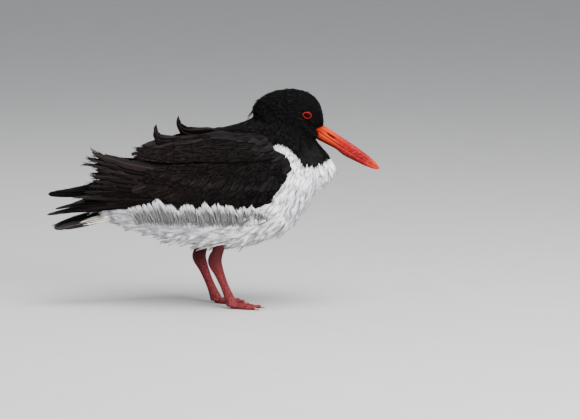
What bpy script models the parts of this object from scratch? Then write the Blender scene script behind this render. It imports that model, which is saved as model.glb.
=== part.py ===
"""A Eurasian oystercatcher at life size, standing on both feet with its neck drawn in.

The bird faces +X, its left side is +Y and the floor is Z = 0. Sizes are in millimetres
and are turned into metres where a mesh is made. Head, neck and torso come from one fan of
cross-sections, so that they meet face to face, and wings, tail, legs, bill and eyes are
placed from that same fan.
"""

import math
import random

import bmesh
import bpy
import numpy as np
from mathutils import Matrix, Vector
from mathutils.bvhtree import BVHTree
from mathutils.kdtree import KDTree

MM = 0.001
GAP = 0.3
TOUCHING = 0.0003
DRAWN_APART = 0.02

# Each cross-section is a slanted slice: its back and front points in the middle plane,
# its half width, and how far down from the back point it is widest, as a share.
# The first two only carry the folded wing tips past the rump.
SECTIONS = (
    (-166.0, 99.0, -166.0, 84.0, 7.0, 0.50),
    (-136.0, 106.0, -136.0, 88.0, 8.0, 0.50),
    (-107.5, 114.0, -107.5, 97.0, 10.0, 0.50),
    (-99.5, 119.0, -100.5, 88.0, 19.0, 0.50),
    (-85.5, 131.0, -86.5, 78.5, 28.0, 0.50),
    (-68.5, 144.0, -68.5, 73.5, 37.0, 0.50),
    (-48.5, 156.0, -48.5, 68.5, 45.0, 0.50),
    (-23.5, 167.5, -23.5, 62.5, 51.0, 0.50),
    (1.5, 177.0, 1.5, 58.5, 55.0, 0.50),
    (24.5, 183.5, 26.5, 60.0, 56.0, 0.50),
    (35.5, 187.9, 48.5, 66.5, 55.5, 0.52),
    (39.0, 190.4, 70.5, 75.5, 52.0, 0.55),
    (40.0, 192.9, 88.5, 95.5, 47.0, 0.58),
    (39.5, 195.5, 105.5, 117.0, 41.5, 0.60),
    (39.3, 197.5, 118.5, 133.0, 36.0, 0.60),
    (39.0, 199.5, 117.5, 147.0, 31.0, 0.57),
    (40.5, 202.0, 108.5, 159.0, 27.0, 0.54),
    (43.5, 205.5, 102.5, 166.2, 24.3, 0.52),
    (50.5, 211.1, 102.0, 168.3, 23.0, 0.50),
    (61.5, 216.1, 103.5, 168.8, 22.3, 0.50),
    (74.5, 218.0, 105.0, 169.8, 21.3, 0.50),
    (87.5, 216.8, 106.5, 171.3, 19.3, 0.50),
    (98.0, 212.6, 108.0, 172.3, 16.0, 0.50),
    (104.5, 206.0, 109.0, 173.3, 12.8, 0.50),
    (108.0, 197.5, 109.5, 173.8, 9.8, 0.50),
    (109.3, 189.4, 110.0, 174.3, 7.5, 0.50),
    (109.8, 183.5, 110.3, 175.3, 5.0, 0.50),
)
TORSO_START = 2.0
MANTLE_START = 4.0
NECK_START = 14.0
HEAD_START = 17.0
HEAD_END = len(SECTIONS) - 1.0
SLICES_PER_SECTION = 1.5
RING_POINTS = 28
SECTION_ROUNDNESS = 0.47

MANTLE_SPAN = 5
MANTLE_THICKNESS = 4.0
MANTLE_EDGE = 1.4

# The bill has its own frame: along it from the feathers at the culmen, and up across it.
BILL_ROOT = (109.7, 182.0)
BILL_SLOPE = 35.1
BILL_LENGTH = 70.5
BILL_ROOT_DEPTH = 8.0
BILL_STATIONS = 13
BILL_RING = 12
CULMEN = ((-8, -0.6), (0, 0.0), (15, 0.6), (35, 1.2), (52, 1.0), (64, -0.2), (70.5, -2.2))
MOUTH_LINE = ((-8, -10.6), (2.5, -10.2), (21.5, -8.1), (33, -7.2), (46, -6.2), (60, -4.7), (70.5, -3.9))
BILL_UNDERSIDE = ((-8, -13.6), (2.5, -15.0), (13, -13.7), (24, -12.4), (34, -13.0), (46.5, -11.3),
                  (57, -9.5), (66, -7.2), (70.5, -5.0))
BILL_HALF_WIDTH = ((-8, 5.2), (0, 5.4), (15, 4.4), (33, 3.3), (50, 2.5), (64, 1.8), (70.5, 1.0))
NOSTRIL_LENGTH = 9.3
NOSTRIL_HEIGHT = 1.3
NOSTRIL_DEPTH = 1.4
NOSTRIL_CENTRE = (12.2, -4.2)

EYE_CENTRE = (93.7, 194.6)
EYE_RADIUS = 5.2
EYE_STANDS_OUT = 1.3
EYE_TILT = -14.0
LID_LENGTH = 9.0
LID_HEIGHT = 6.8
LID_THICKNESS = 1.5

LEG_SPREAD = 21.0
ANKLE_HEIGHT = 47.0
FOOT_TOP = 7.5
# Along each leg from the thigh: forward, height, half depth fore and aft, half width.
LEG_LINE = (
    (6.5, 84.0, 5.6, 4.9),
    (5.0, 62.0, 5.6, 4.9),
    (1.8, 53.0, 6.4, 5.2),
    (0.0, 47.0, 7.2, 5.6),
    (2.6, 41.0, 6.4, 4.9),
    (5.4, 34.0, 5.1, 4.0),
    (9.6, 24.0, 4.6, 3.6),
    (13.9, 14.0, 4.9, 3.9),
    (16.6, 7.5, 5.8, 4.9),
    (18.3, 2.0, 6.2, 5.6),
)
NEAR_ANKLE_X = 1.0
FAR_ANKLE_X = -15.4
FOOT_AHEAD_OF_ANKLE = 18.3
TOES = (("inner", 23.0, 40.0), ("middle", 29.0, 8.0), ("outer", 26.0, -25.0))
TOE_HALF_WIDTH = 3.7
CLAW_LENGTH = 4.5

# The folded wing in side view: forward, top edge, bottom edge.
WING_EDGE = (
    (77.0, 149.0, 142.0), (74.0, 156.0, 135.0), (67.5, 161.3, 126.0), (57.5, 165.6, 117.0),
    (45.5, 167.3, 110.0), (30.0, 168.0, 108.0), (10.0, 167.5, 108.5), (-12.0, 165.5, 109.5),
    (-36.0, 160.0, 109.5), (-58.0, 154.0, 109.5), (-80.0, 147.5, 108.0), (-100.0, 139.0, 106.0),
)
WING_PAD = 3.2
PAD_ROWS = 4
# Where the wing lies behind the widest part of the body: forward, then height and distance from
# the middle plane at its top, middle and bottom.
WING_SHELL = (
    (90.0, 150.0, 20.0, 135.0, 30.0, 110.0, 34.0),
    (20.0, 168.0, 26.0, 140.0, 46.0, 105.0, 54.0),
    (-20.0, 166.0, 25.0, 140.0, 44.0, 105.0, 51.5),
    (-45.0, 160.0, 17.0, 135.0, 39.0, 105.0, 46.5),
    (-70.0, 154.0, 9.0, 130.0, 32.0, 105.0, 38.0),
    (-100.0, 146.0, 3.5, 126.0, 20.0, 104.0, 24.0),
    (-130.0, 132.0, 3.0, 115.0, 11.0, 98.0, 13.0),
    (-168.0, 118.0, 3.0, 105.0, 6.0, 94.0, 7.0),
)
LEAST_FROM_MIDDLE = 2.6
# Tiers of the wing, from the deepest to the topmost: how many feathers, their width and stations,
# how far root and tip stand off the wing, then the lines of their roots and tips in side view.
WING_TIERS = (
    ("primary", 5, 15.0, 4, -1.5, 0.2, ((-50, 121), (-62, 112)), ((-140, 108.5), (-158, 102), (-166, 96.5))),
    ("secondary", 5, 22.0, 4, 0.8, 2.2, ((60, 117), (20, 121), (-52, 122)),
     ((31, 105), (5, 109), (-12, 105.5), (-34, 106), (-60, 110), (-94, 111))),
    ("tertial", 5, 19.0, 5, 1.6, 3.4, ((-40, 121), (-34, 132), (-32, 139)),
     ((-138, 112), (-121, 123), (-120, 130), (-130, 141.5), (-124, 146.5))),
    ("greater_covert", 5, 22.0, 4, 2.2, 4.2, ((66, 126), (20, 133), (-28, 135)),
     ((34, 108), (0, 113), (-40, 115), (-84, 121))),
    ("median_covert", 4, 22.0, 4, 2.8, 4.8, ((70, 137), (24, 144), (-14, 146)),
     ((47, 122), (10, 127), (-44, 133))),
    ("scapular", 5, 19.0, 4, 3.4, 7.4, ((58, 155), (20, 158), (-28, 155)),
     ((24, 147), (-20, 147), (-54, 145), (-79, 148))),
    ("upper_scapular", 4, 19.0, 4, 4.0, 8.0, ((56, 161), (18, 165), (-18, 162)),
     ((18, 157), (-25, 157), (-67, 153))),
)
FEATHER_THICKNESS = 0.8
FEATHER_TIP = 0.22
FAR_TIP_RAISE = 15.0
SHINGLE = 0.5
UNEVENNESS = 1.0
SEED = 7

# Tufts that break the outline of breast, belly and vent, in staggered rows along the body.
TUFT_ROWS = (3.4, 13.2, 8)
TUFT_ANGLES = ((-104, -140, 180, 140, 104), (-122, -160, 160, 122))
TUFT_LENGTH = 31.0
TUFT_WIDTH = 16.0
TUFT_THICKNESS = 2.4
TUFT_STANDS_OUT = 3.0
TUFT_GAP = 0.5

# Feathers of the back that the wind has turned up: a bent path from root to tip, then the width.
BLOWN_FEATHERS = (
    (((2, -12, 175.5), (-40, -12, 166), (-67, -12, 160), (-58, -12, 185)), 12.0),
    (((12, 8, 178.5), (-20, 8, 172), (-41, 8, 173), (-36, 8, 191)), 12.0),
)
BLOWN_TWIST = 50.0

# The tail's fleshy root: forward, height, half depth, half width.
TAIL_ROOT = ((-96.0, 100.0, 9.0, 10.0), (-107.5, 97.5, 10.0, 13.0), (-118.0, 93.5, 6.5, 14.0),
             (-127.0, 91.0, 2.5, 12.0))
TAIL_FEATHERS = 8
TAIL_ROOF = 6.0


def clear_scene():
    for obj in list(bpy.data.objects):
        bpy.data.objects.remove(obj, do_unlink=True)


def smooth(t):
    t = min(1.0, max(0.0, t))
    return t * t * (3.0 - 2.0 * t)


def curve_through(rows, t):
    """The row at t on a Catmull-Rom curve through the rows, where t counts rows."""
    last = len(rows) - 1
    t = min(max(t, 0.0), float(last))
    i = min(int(t), last - 1)
    f = t - i
    a, b, c, d = (np.array(rows[min(max(k, 0), last)], float) for k in (i - 1, i, i + 1, i + 2))
    return 0.5 * (2 * b + (c - a) * f + (2 * a - 5 * b + 4 * c - d) * f**2 + (3 * b - a - 3 * c + d) * f**3)


def along(table, x):
    """The value at x on a smooth line through a table of (x, value)."""
    xs = [row[0] for row in table]
    i = int(np.clip(np.searchsorted(xs, x) - 1, 0, len(xs) - 2))
    f = (x - xs[i]) / (xs[i + 1] - xs[i])
    return float(curve_through([row[1:] for row in table], i + f)[0])


def mantle_depth(u, v):
    """How deep the torso is cut back under the mantle at slice u and angle v."""
    edge = MANTLE_SPAN * 2 * math.pi / RING_POINTS
    if u < MANTLE_START - 1e-6 or abs(v) > edge + 1e-6:
        return 0.0
    across = smooth((edge - abs(v)) / (0.5 * edge))
    back = smooth((u - MANTLE_START) / 3.0)
    return MANTLE_EDGE + (MANTLE_THICKNESS - MANTLE_EDGE) * across * back


def body_point(u, v, inset=0.0):
    """A point of the bird's skin: slice u of the fan, v round it from the back, 0, to the belly, pi."""
    back_x, back_z, front_x, front_z, half_width, widest = curve_through(SECTIONS, u)
    length = math.hypot(front_x - back_x, front_z - back_z)
    share = (1.0 - math.cos(v)) / 2.0
    skewed = share ** (math.log(0.5) / math.log(widest))
    width = half_width * (4.0 * skewed * (1.0 - skewed)) ** SECTION_ROUNDNESS
    down = ((front_x - back_x) / length, (front_z - back_z) / length)
    x = back_x + down[0] * length * share
    z = back_z + down[1] * length * share
    y = math.copysign(width, math.sin(v)) if abs(math.sin(v)) > 1e-9 else 0.0
    if not inset:
        return Vector((x, y, z))
    centre = Vector(((back_x + front_x) / 2, 0.0, (back_z + front_z) / 2))
    point = Vector((x, y, z))
    return point + (centre - point).normalized() * inset


def body_normal(u, v):
    """The way out of the body at a point of its skin."""
    step = 0.02
    du = body_point(min(u + step, HEAD_END), v) - body_point(u - step, v)
    dv = body_point(u, v + step) - body_point(u, v - step)
    return du.cross(dv).normalized()


def slice_normal(u):
    """The direction across slice u, towards the head."""
    back_x, back_z, front_x, front_z = curve_through(SECTIONS, u)[:4]
    return Vector((back_z - front_z, 0.0, front_x - back_x)).normalized()


def new_object(name, points, faces, material):
    """A mesh object from points in millimetres."""
    mesh = bpy.data.meshes.new(name)
    mesh.from_pydata([Vector(p) * MM for p in points], [], faces)
    obj = bpy.data.objects.new(name, mesh)
    PARTS.objects.link(obj)
    if material:
        mesh.materials.append(material)
    return obj


def tidy_normals(obj):
    bm = bmesh.new()
    bm.from_mesh(obj.data)
    bmesh.ops.recalc_face_normals(bm, faces=bm.faces)
    bm.to_mesh(obj.data)
    bm.free()


def loft(name, rings, material):
    """A closed solid through rings of equal length, with flat ends."""
    count = len(rings[0])
    points = [p for ring in rings for p in ring]
    faces = []
    for i in range(len(rings) - 1):
        for k in range(count):
            a, b = i * count + k, i * count + (k + 1) % count
            faces += [(a, b, b + count), (a, b + count, a + count)]
    last = (len(rings) - 1) * count
    faces.append(tuple(range(count - 1, -1, -1)))
    faces.append(tuple(last + k for k in range(count)))
    obj = new_object(name, points, faces, material)
    tidy_normals(obj)
    return obj


def slices_between(start, end):
    count = round((end - start) * SLICES_PER_SECTION)
    return [start + (end - start) * i / count for i in range(count + 1)]


def body_piece(name, start, end, material, inset=None, trim_start=True, trim_end=True):
    """The stretch of the body between two slices, drawn in by half the gap at each cut end."""
    rings = []
    steps = slices_between(start, end)
    for i, u in enumerate(steps):
        shift = Vector((0.0, 0.0, 0.0))
        if i == 0 and trim_start:
            shift = slice_normal(u) * GAP / 2
        if i == len(steps) - 1 and trim_end:
            shift = slice_normal(u) * -GAP / 2
        ring = []
        for k in range(RING_POINTS):
            v = 2 * math.pi * k / RING_POINTS
            v = v - 2 * math.pi if v > math.pi else v
            ring.append(body_point(u, v, inset(u, v) if inset else 0.0) + shift)
        rings.append(ring)
    return loft(name, rings, material)


def sheet_solid(name, outer, inner, material):
    """A closed solid between two grids of points of the same shape."""
    rows, columns = len(outer), len(outer[0])
    points = [p for row in outer for p in row] + [p for row in inner for p in row]
    base = rows * columns
    faces = []
    for i in range(rows - 1):
        for k in range(columns - 1):
            a, b, c, d = i * columns + k, i * columns + k + 1, (i + 1) * columns + k + 1, (i + 1) * columns + k
            faces += [(a, b, c), (a, c, d), (base + a, base + c, base + b), (base + a, base + d, base + c)]
    rim = [(0, k) for k in range(columns)] + [(i, columns - 1) for i in range(1, rows)]
    rim += [(rows - 1, k) for k in range(columns - 2, -1, -1)] + [(i, 0) for i in range(rows - 2, 0, -1)]
    for (i, k), (j, m) in zip(rim, rim[1:] + rim[:1]):
        a, b = i * columns + k, j * columns + m
        faces.append((a, base + a, base + b, b))
    obj = new_object(name, points, faces, material)
    tidy_normals(obj)
    return obj


def clearance(name, objects, gap=GAP):
    """A collection of copies of some solids, grown by a gap, to cut their neighbours clear of them."""
    group = bpy.data.collections.new(name)
    CUTTERS.children.link(group)
    for obj in objects:
        copy = bpy.data.objects.new(obj.name + "_clearance", obj.data.copy())
        group.objects.link(copy)
        copy.hide_render = True
        copy.display_type = "WIRE"
        bm = bmesh.new()
        bm.from_mesh(copy.data)
        bm.normal_update()
        moves = [vertex.normal * gap * MM * min(vertex.calc_shell_factor(), 2.0) for vertex in bm.verts]
        for vertex, move in zip(bm.verts, moves):
            vertex.co += move
        bm.to_mesh(copy.data)
        bm.free()
    return group


def apply_modifiers(obj):
    graph = bpy.context.evaluated_depsgraph_get()
    old = obj.data
    materials = list(old.materials)
    obj.data = bpy.data.meshes.new_from_object(obj.evaluated_get(graph))
    obj.modifiers.clear()
    bpy.data.meshes.remove(old)
    obj.data.materials.clear()
    for material in materials[:1]:
        obj.data.materials.append(material)
    for face in obj.data.polygons:
        face.material_index = 0


def cut_away(obj, group, solver="EXACT"):
    modifier = obj.modifiers.new("cut", "BOOLEAN")
    modifier.operation = "DIFFERENCE"
    modifier.operand_type = "COLLECTION"
    modifier.collection = group
    modifier.solver = solver
    apply_modifiers(obj)


def keep_largest(obj):
    """Leaves the largest closed surface of a mesh, dropping sealed hollows and loose scraps."""
    bm = bmesh.new()
    bm.from_mesh(obj.data)
    left = set(bm.faces)
    groups = []
    while left:
        group, edge = set(), [left.pop()]
        while edge:
            face = edge.pop()
            group.add(face)
            for link in face.edges:
                for other in link.link_faces:
                    if other in left:
                        left.discard(other)
                        edge.append(other)
        groups.append(group)
    groups.sort(key=lambda g: sum(f.calc_area() for f in g))
    doomed = [face for group in groups[:-1] for face in group]
    bmesh.ops.delete(bm, geom=doomed, context="FACES")
    bmesh.ops.delete(bm, geom=[v for v in bm.verts if not v.link_faces], context="VERTS")
    bm.to_mesh(obj.data)
    bm.free()


def part_touching(obj):
    """Draws apart the points of two folds that fall on one spot."""
    bm = bmesh.new()
    bm.from_mesh(obj.data)
    tree = KDTree(len(bm.verts))
    bm.verts.ensure_lookup_table()
    for vertex in bm.verts:
        tree.insert(vertex.co, vertex.index)
    tree.balance()
    moves = {}
    for vertex in bm.verts:
        ends = {edge.other_vert(vertex).index for edge in vertex.link_edges}
        near = {index for _, index, _ in tree.find_range(vertex.co, TOUCHING * MM)}
        if near - ends - {vertex.index}:
            centres = [face.calc_center_median() for face in vertex.link_faces]
            middle = sum(centres, Vector()) / len(centres)
            moves[vertex] = (middle - vertex.co).normalized() * DRAWN_APART * MM
    for vertex, move in moves.items():
        vertex.co += move
    bm.to_mesh(obj.data)
    bm.free()


def fuse(obj, pieces, solver="EXACT"):
    """Joins closed pieces to a node with one Boolean union, and removes them."""
    group = bpy.data.collections.new(obj.name + "_pieces")
    bpy.context.scene.collection.children.link(group)
    for piece in pieces:
        group.objects.link(piece)
        PARTS.objects.unlink(piece)
    modifier = obj.modifiers.new("join", "BOOLEAN")
    modifier.operation = "UNION"
    modifier.operand_type = "COLLECTION"
    modifier.collection = group
    modifier.solver = solver
    apply_modifiers(obj)
    for piece in pieces:
        bpy.data.objects.remove(piece, do_unlink=True)
    bpy.data.collections.remove(group)
    keep_largest(obj)


def paint(name, colour, roughness):
    """A plain Principled material."""
    material = bpy.data.materials.new(name)
    material.use_nodes = True
    shader = material.node_tree.nodes["Principled BSDF"]
    shader.inputs["Base Color"].default_value = (*colour, 1.0)
    shader.inputs["Roughness"].default_value = roughness
    shader.inputs["Metallic"].default_value = 0.0
    material.diffuse_color = (*colour, 1.0)
    return material


def make_mantle(material):
    """The black saddle of the upper back, let into the torso."""
    outer, inner = [], []
    for i, u in enumerate(slices_between(MANTLE_START, NECK_START)):
        shift = slice_normal(u) * (-GAP / 2 if u > NECK_START - 1e-6 else 0.0)
        outer_row, inner_row = [], []
        for k in range(-MANTLE_SPAN, MANTLE_SPAN + 1):
            v = 2 * math.pi * k / RING_POINTS
            outer_row.append(body_point(u, v) + shift)
            inner_row.append(body_point(u, v, mantle_depth(u, v) - GAP) + shift)
        outer.append(outer_row)
        inner.append(inner_row)
    return sheet_solid("mantle", outer, inner, material)


def bill_point(a, d, y):
    """A point of the bill's own frame, put in place on the head."""
    slope = math.radians(BILL_SLOPE)
    return Vector((
        BILL_ROOT[0] + a * math.cos(slope) + d * math.sin(slope),
        y,
        BILL_ROOT[1] - a * math.sin(slope) + d * math.cos(slope),
    ))


def mandible(name, upper_edge, lower_edge, material):
    """One half of the bill: rounded slices between its upper and lower edges."""
    rings = []
    for i in range(BILL_STATIONS):
        share = i / (BILL_STATIONS - 1)
        a = -BILL_ROOT_DEPTH + (BILL_LENGTH + BILL_ROOT_DEPTH) * math.sin(share * math.pi / 2) ** 0.9
        top, bottom = upper_edge(a), lower_edge(a)
        middle, half = (top + bottom) / 2, (top - bottom) / 2
        width = along(BILL_HALF_WIDTH, a)
        ring = []
        for k in range(BILL_RING):
            angle = 2 * math.pi * (k + 0.5) / BILL_RING
            c, s = math.cos(angle), math.sin(angle)
            across = math.copysign(abs(s) ** 0.8, s) * width
            up = math.copysign(abs(c) ** 0.8, c) * half
            ring.append(bill_point(a, middle + up, across))
        rings.append(ring)
    return loft(name, rings, material)


def make_bill(material):
    upper = mandible("bill_upper", lambda a: along(CULMEN, a), lambda a: along(MOUTH_LINE, a) + GAP / 2, material)
    lower = mandible("bill_lower", lambda a: along(MOUTH_LINE, a) - GAP / 2, lambda a: along(BILL_UNDERSIDE, a),
                     material)
    nostrils = bpy.data.collections.new("nostrils")
    CUTTERS.children.link(nostrils)
    for side in (-1, 1):
        wall = along(BILL_HALF_WIDTH, NOSTRIL_CENTRE[0])
        bpy.ops.mesh.primitive_cylinder_add(vertices=12, radius=0.5, depth=1.0)
        slot = bpy.context.object
        slot.name = "nostril_cutter"
        for collection in list(slot.users_collection):
            collection.objects.unlink(slot)
        nostrils.objects.link(slot)
        slot.hide_render = True
        slot.display_type = "WIRE"
        stretch = Matrix.Diagonal((NOSTRIL_LENGTH * MM, NOSTRIL_HEIGHT * MM, 2 * NOSTRIL_DEPTH * MM, 1.0))
        lay = Matrix.Rotation(math.radians(90), 4, "X")
        dip = Matrix.Rotation(math.radians(BILL_SLOPE), 4, "Y")
        spot = Matrix.Translation(bill_point(*NOSTRIL_CENTRE, side * wall) * MM)
        slot.data.transform(spot @ dip @ lay @ stretch)
    cut_away(upper, nostrils)
    return upper, lower


def surface_y(x, z):
    """Half the head's width at a side-view point, found by walking the fan."""
    low, high = HEAD_START, HEAD_END
    for _ in range(40):
        middle = (low + high) / 2
        back_x, back_z, front_x, front_z = curve_through(SECTIONS, middle)[:4]
        ahead = (x - back_x) * (back_z - front_z) + (z - back_z) * (front_x - back_x)
        low, high = (middle, high) if ahead > 0 else (low, middle)
    back_x, back_z, front_x, front_z = curve_through(SECTIONS, low)[:4]
    length = math.hypot(front_x - back_x, front_z - back_z)
    share = ((x - back_x) * (front_x - back_x) + (z - back_z) * (front_z - back_z)) / length**2
    return abs(body_point(low, math.acos(1 - 2 * share)).y)


def make_eye(side, name, material):
    y = surface_y(*EYE_CENTRE) + EYE_STANDS_OUT - EYE_RADIUS
    bpy.ops.mesh.primitive_uv_sphere_add(segments=14, ring_count=8, radius=EYE_RADIUS * MM)
    eye = bpy.context.object
    eye.name = name
    eye.data.name = name
    eye.data.transform(Matrix.Translation(Vector((EYE_CENTRE[0], side * y, EYE_CENTRE[1])) * MM))
    move_to_parts(eye)
    eye.data.materials.append(material)
    eye.data.shade_smooth()
    return eye


def move_to_parts(obj):
    for collection in list(obj.users_collection):
        collection.objects.unlink(obj)
    PARTS.objects.link(obj)


def make_lids(side, name, material):
    """The bare rim of both lids, an oval ring let into the head round the eye."""
    bpy.ops.mesh.primitive_torus_add(major_segments=16, minor_segments=6, major_radius=1.0,
                                     minor_radius=0.25)
    ring = bpy.context.object
    ring.name = name
    ring.data.name = name
    move_to_parts(ring)
    ring.data.materials.append(material)
    ring.data.shade_smooth()
    y = surface_y(*EYE_CENTRE)
    mesh = ring.data
    for vertex in mesh.vertices:
        angle = math.atan2(vertex.co.y, vertex.co.x)
        out = math.hypot(vertex.co.x, vertex.co.y) - 1.0
        spread = out * LID_THICKNESS / 0.5
        along_lid = (LID_LENGTH / 2 + spread) * math.cos(angle)
        up_lid = (LID_HEIGHT / 2 + spread) * math.sin(angle)
        tilt = math.radians(EYE_TILT)
        dx = along_lid * math.cos(tilt) - up_lid * math.sin(tilt)
        dz = along_lid * math.sin(tilt) + up_lid * math.cos(tilt)
        depth = vertex.co.z / 0.25 * LID_THICKNESS * 0.8
        base = surface_y(EYE_CENTRE[0] + dx, EYE_CENTRE[1] + dz)
        vertex.co = Vector((EYE_CENTRE[0] + dx, side * (min(base, y + 1.0) + depth), EYE_CENTRE[1] + dz)) * MM
    tidy_normals(ring)
    return ring


def leg_ring(x, z, half_depth, half_width, side, ankle_x, count=12):
    ring = []
    for k in range(count):
        angle = 2 * math.pi * k / count
        ring.append(Vector((
            ankle_x + x + half_depth * math.cos(angle),
            side * LEG_SPREAD + half_width * math.sin(angle),
            z,
        )))
    return ring


def make_leg(side, name, ankle_x, material):
    """The bare lower thigh, the ankle and the shank, down to the top of the foot."""
    rings = []
    steps = 2 * (len(LEG_LINE) - 1)
    for i in range(steps + 1):
        x, z, half_depth, half_width = curve_through(LEG_LINE, i / 2)
        if z < FOOT_TOP:
            break
        rings.append(leg_ring(x, z, half_depth, half_width, side, ankle_x))
    foot_x, _, half_depth, half_width = curve_through(LEG_LINE, len(LEG_LINE) - 2)
    rings[-1] = leg_ring(foot_x, FOOT_TOP + GAP / 2, half_depth, half_width, side, ankle_x)
    return loft(name, rings, material)


def toe(name, root, length, heading, material):
    """One toe flat on the floor, with its joints swelling a little and a blunt claw."""
    direction = Vector((math.cos(heading), math.sin(heading), 0.0))
    across = Vector((-direction.y, direction.x, 0.0))
    total = length + CLAW_LENGTH
    rings = []
    steps = 8
    for i in range(steps + 1):
        reach = total * i / steps
        on_toe = min(reach / length, 1.0)
        width = TOE_HALF_WIDTH * (1.0 - 0.32 * on_toe) * (1.0 + 0.10 * math.cos(on_toe * 6 * math.pi))
        if reach > length:
            width *= max(0.14, 1.0 - (reach - length) / CLAW_LENGTH)
        height = width * 0.95
        middle = root + direction * reach + Vector((0.0, 0.0, height * 0.8))
        ring = []
        for k in range(8):
            angle = 2 * math.pi * k / 8
            point = middle + across * math.cos(angle) * width + Vector((0, 0, math.sin(angle) * height))
            point.z = max(point.z, 0.0)
            ring.append(point)
        rings.append(ring)
    return loft(name, rings, material)


def make_foot(side, name, ankle_x, material):
    """The pad under the shank with its three forward toes; there is no hind toe."""
    x, _, half_depth, half_width = curve_through(LEG_LINE, len(LEG_LINE) - 2)
    top = leg_ring(x, FOOT_TOP - GAP / 2, half_depth, half_width, side, ankle_x)
    swell = leg_ring(x + 0.8, FOOT_TOP / 2, half_depth * 1.12, half_width * 1.12, side, ankle_x)
    sole = leg_ring(x + 1.4, 0.0, half_depth * 0.9, half_width * 0.9, side, ankle_x)
    pad = loft(name, [sole, swell, top], material)
    root = Vector((ankle_x + x + 1.0, side * LEG_SPREAD, 0.0))
    toes = []
    for label, length, turn in TOES:
        heading = math.radians(-side * turn)
        toes.append(toe(f"{name}_{label}", root, length, heading, material))
    fuse(pad, toes)
    return pad


def feather(name, path, across, width, material):
    """A vane: a thin blade along a path, narrow at the root and drawn in at the tip.

    path and across give, for each station, the middle of the outer face and the way across it.
    """
    stations = len(path)
    rows = []
    for i, (middle, side_way) in enumerate(zip(path, across)):
        s = i / (stations - 1)
        ahead = (path[min(i + 1, stations - 1)] - path[max(i - 1, 0)]).normalized()
        face = ahead.cross(side_way).normalized()
        opening = 0.5 + 0.5 * smooth(s / 0.35)
        closing = 1.0 - (1.0 - FEATHER_TIP) * max(0.0, (s - 0.62) / 0.38) ** 2
        half = width / 2 * opening * closing
        body = FEATHER_THICKNESS * (1.25 - 0.5 * s)
        left, right = middle - side_way * half, middle + side_way * half
        rows.append((left, right, right - face * body, left - face * body))
    count = len(rows[0])
    points = [p for row in rows for p in row]
    faces = []
    for i in range(stations - 1):
        for k in range(count):
            a, b = i * count + k, i * count + (k + 1) % count
            faces += [(a, b, b + count), (a, b + count, a + count)]
    last = (stations - 1) * count
    faces += [(0, k + 1, k) for k in range(1, count - 1)]
    faces += [(last, last + k, last + k + 1) for k in range(1, count - 1)]
    obj = new_object(name, points, faces, material)
    tidy_normals(obj)
    return obj


def shell_y(x, z):
    rows = [row[1:] for row in WING_SHELL[::-1]]
    xs = [row[0] for row in WING_SHELL[::-1]]
    i = int(np.clip(np.searchsorted(xs, x) - 1, 0, len(xs) - 2))
    z0, y0, z1, y1, z2, y2 = curve_through(rows, i + np.clip((x - xs[i]) / (xs[i + 1] - xs[i]), 0, 1))
    z = min(max(z, z2 - 4), z0 + 6)
    a = y0 * (z - z1) * (z - z2) / ((z0 - z1) * (z0 - z2))
    b = y1 * (z - z0) * (z - z2) / ((z1 - z0) * (z1 - z2))
    c = y2 * (z - z0) * (z - z1) / ((z2 - z0) * (z2 - z1))
    return a + b + c


def clear_of_middle(y):
    """Bends a distance from the middle plane so that it never comes under the least one."""
    knee = LEAST_FROM_MIDDLE + 3.0
    return y if y > knee else LEAST_FROM_MIDDLE + 3.0 * math.exp((y - knee) / 3.0)


class Flank:
    """The surface that a folded wing lies on: the body's side, and behind it the wing's own bulk."""

    def __init__(self, objects):
        points, faces = [], []
        for obj in objects:
            base = len(points)
            points += [v.co / MM for v in obj.data.vertices]
            faces += [[base + i for i in face.vertices] for face in obj.data.polygons]
        self.tree = BVHTree.FromPolygons(points, faces)

    def y(self, x, z):
        hit = self.tree.ray_cast(Vector((x, 200.0, z)), Vector((0, -1, 0)))[0]
        return max(shell_y(x, z), hit.y + 0.8 if hit else -50.0)

    def point(self, x, z, lift, side):
        step = 1.5
        slope_x = (self.y(x + step, z) - self.y(x - step, z)) / (2 * step)
        slope_z = (self.y(x, z + step) - self.y(x, z - step)) / (2 * step)
        out = Vector((-slope_x, 1.0, -slope_z)).normalized()
        spot = Vector((x, self.y(x, z), z)) + out * lift
        return Vector((spot.x, side * clear_of_middle(spot.y), spot.z))


def line_at(points, t):
    return curve_through(points, t * (len(points) - 1))


def wing_pad(name, flank, side, material):
    """The wing's bulk under its feathers, cut clear of the body afterwards."""
    outer, inner = [], []
    for x, top, bottom in WING_EDGE:
        outer_row, inner_row = [], []
        for k in range(PAD_ROWS + 1):
            t = k / PAD_ROWS
            z = top + (bottom - top) * t
            rise = WING_PAD * math.sin(math.pi * (0.08 + 0.84 * t)) ** 0.6
            outer_row.append(flank.point(x, z, rise, side))
            inner_row.append(flank.point(x, z, -4.0, side))
        outer.append(outer_row)
        inner.append(inner_row)
    return sheet_solid(name, outer, inner, material)


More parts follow.
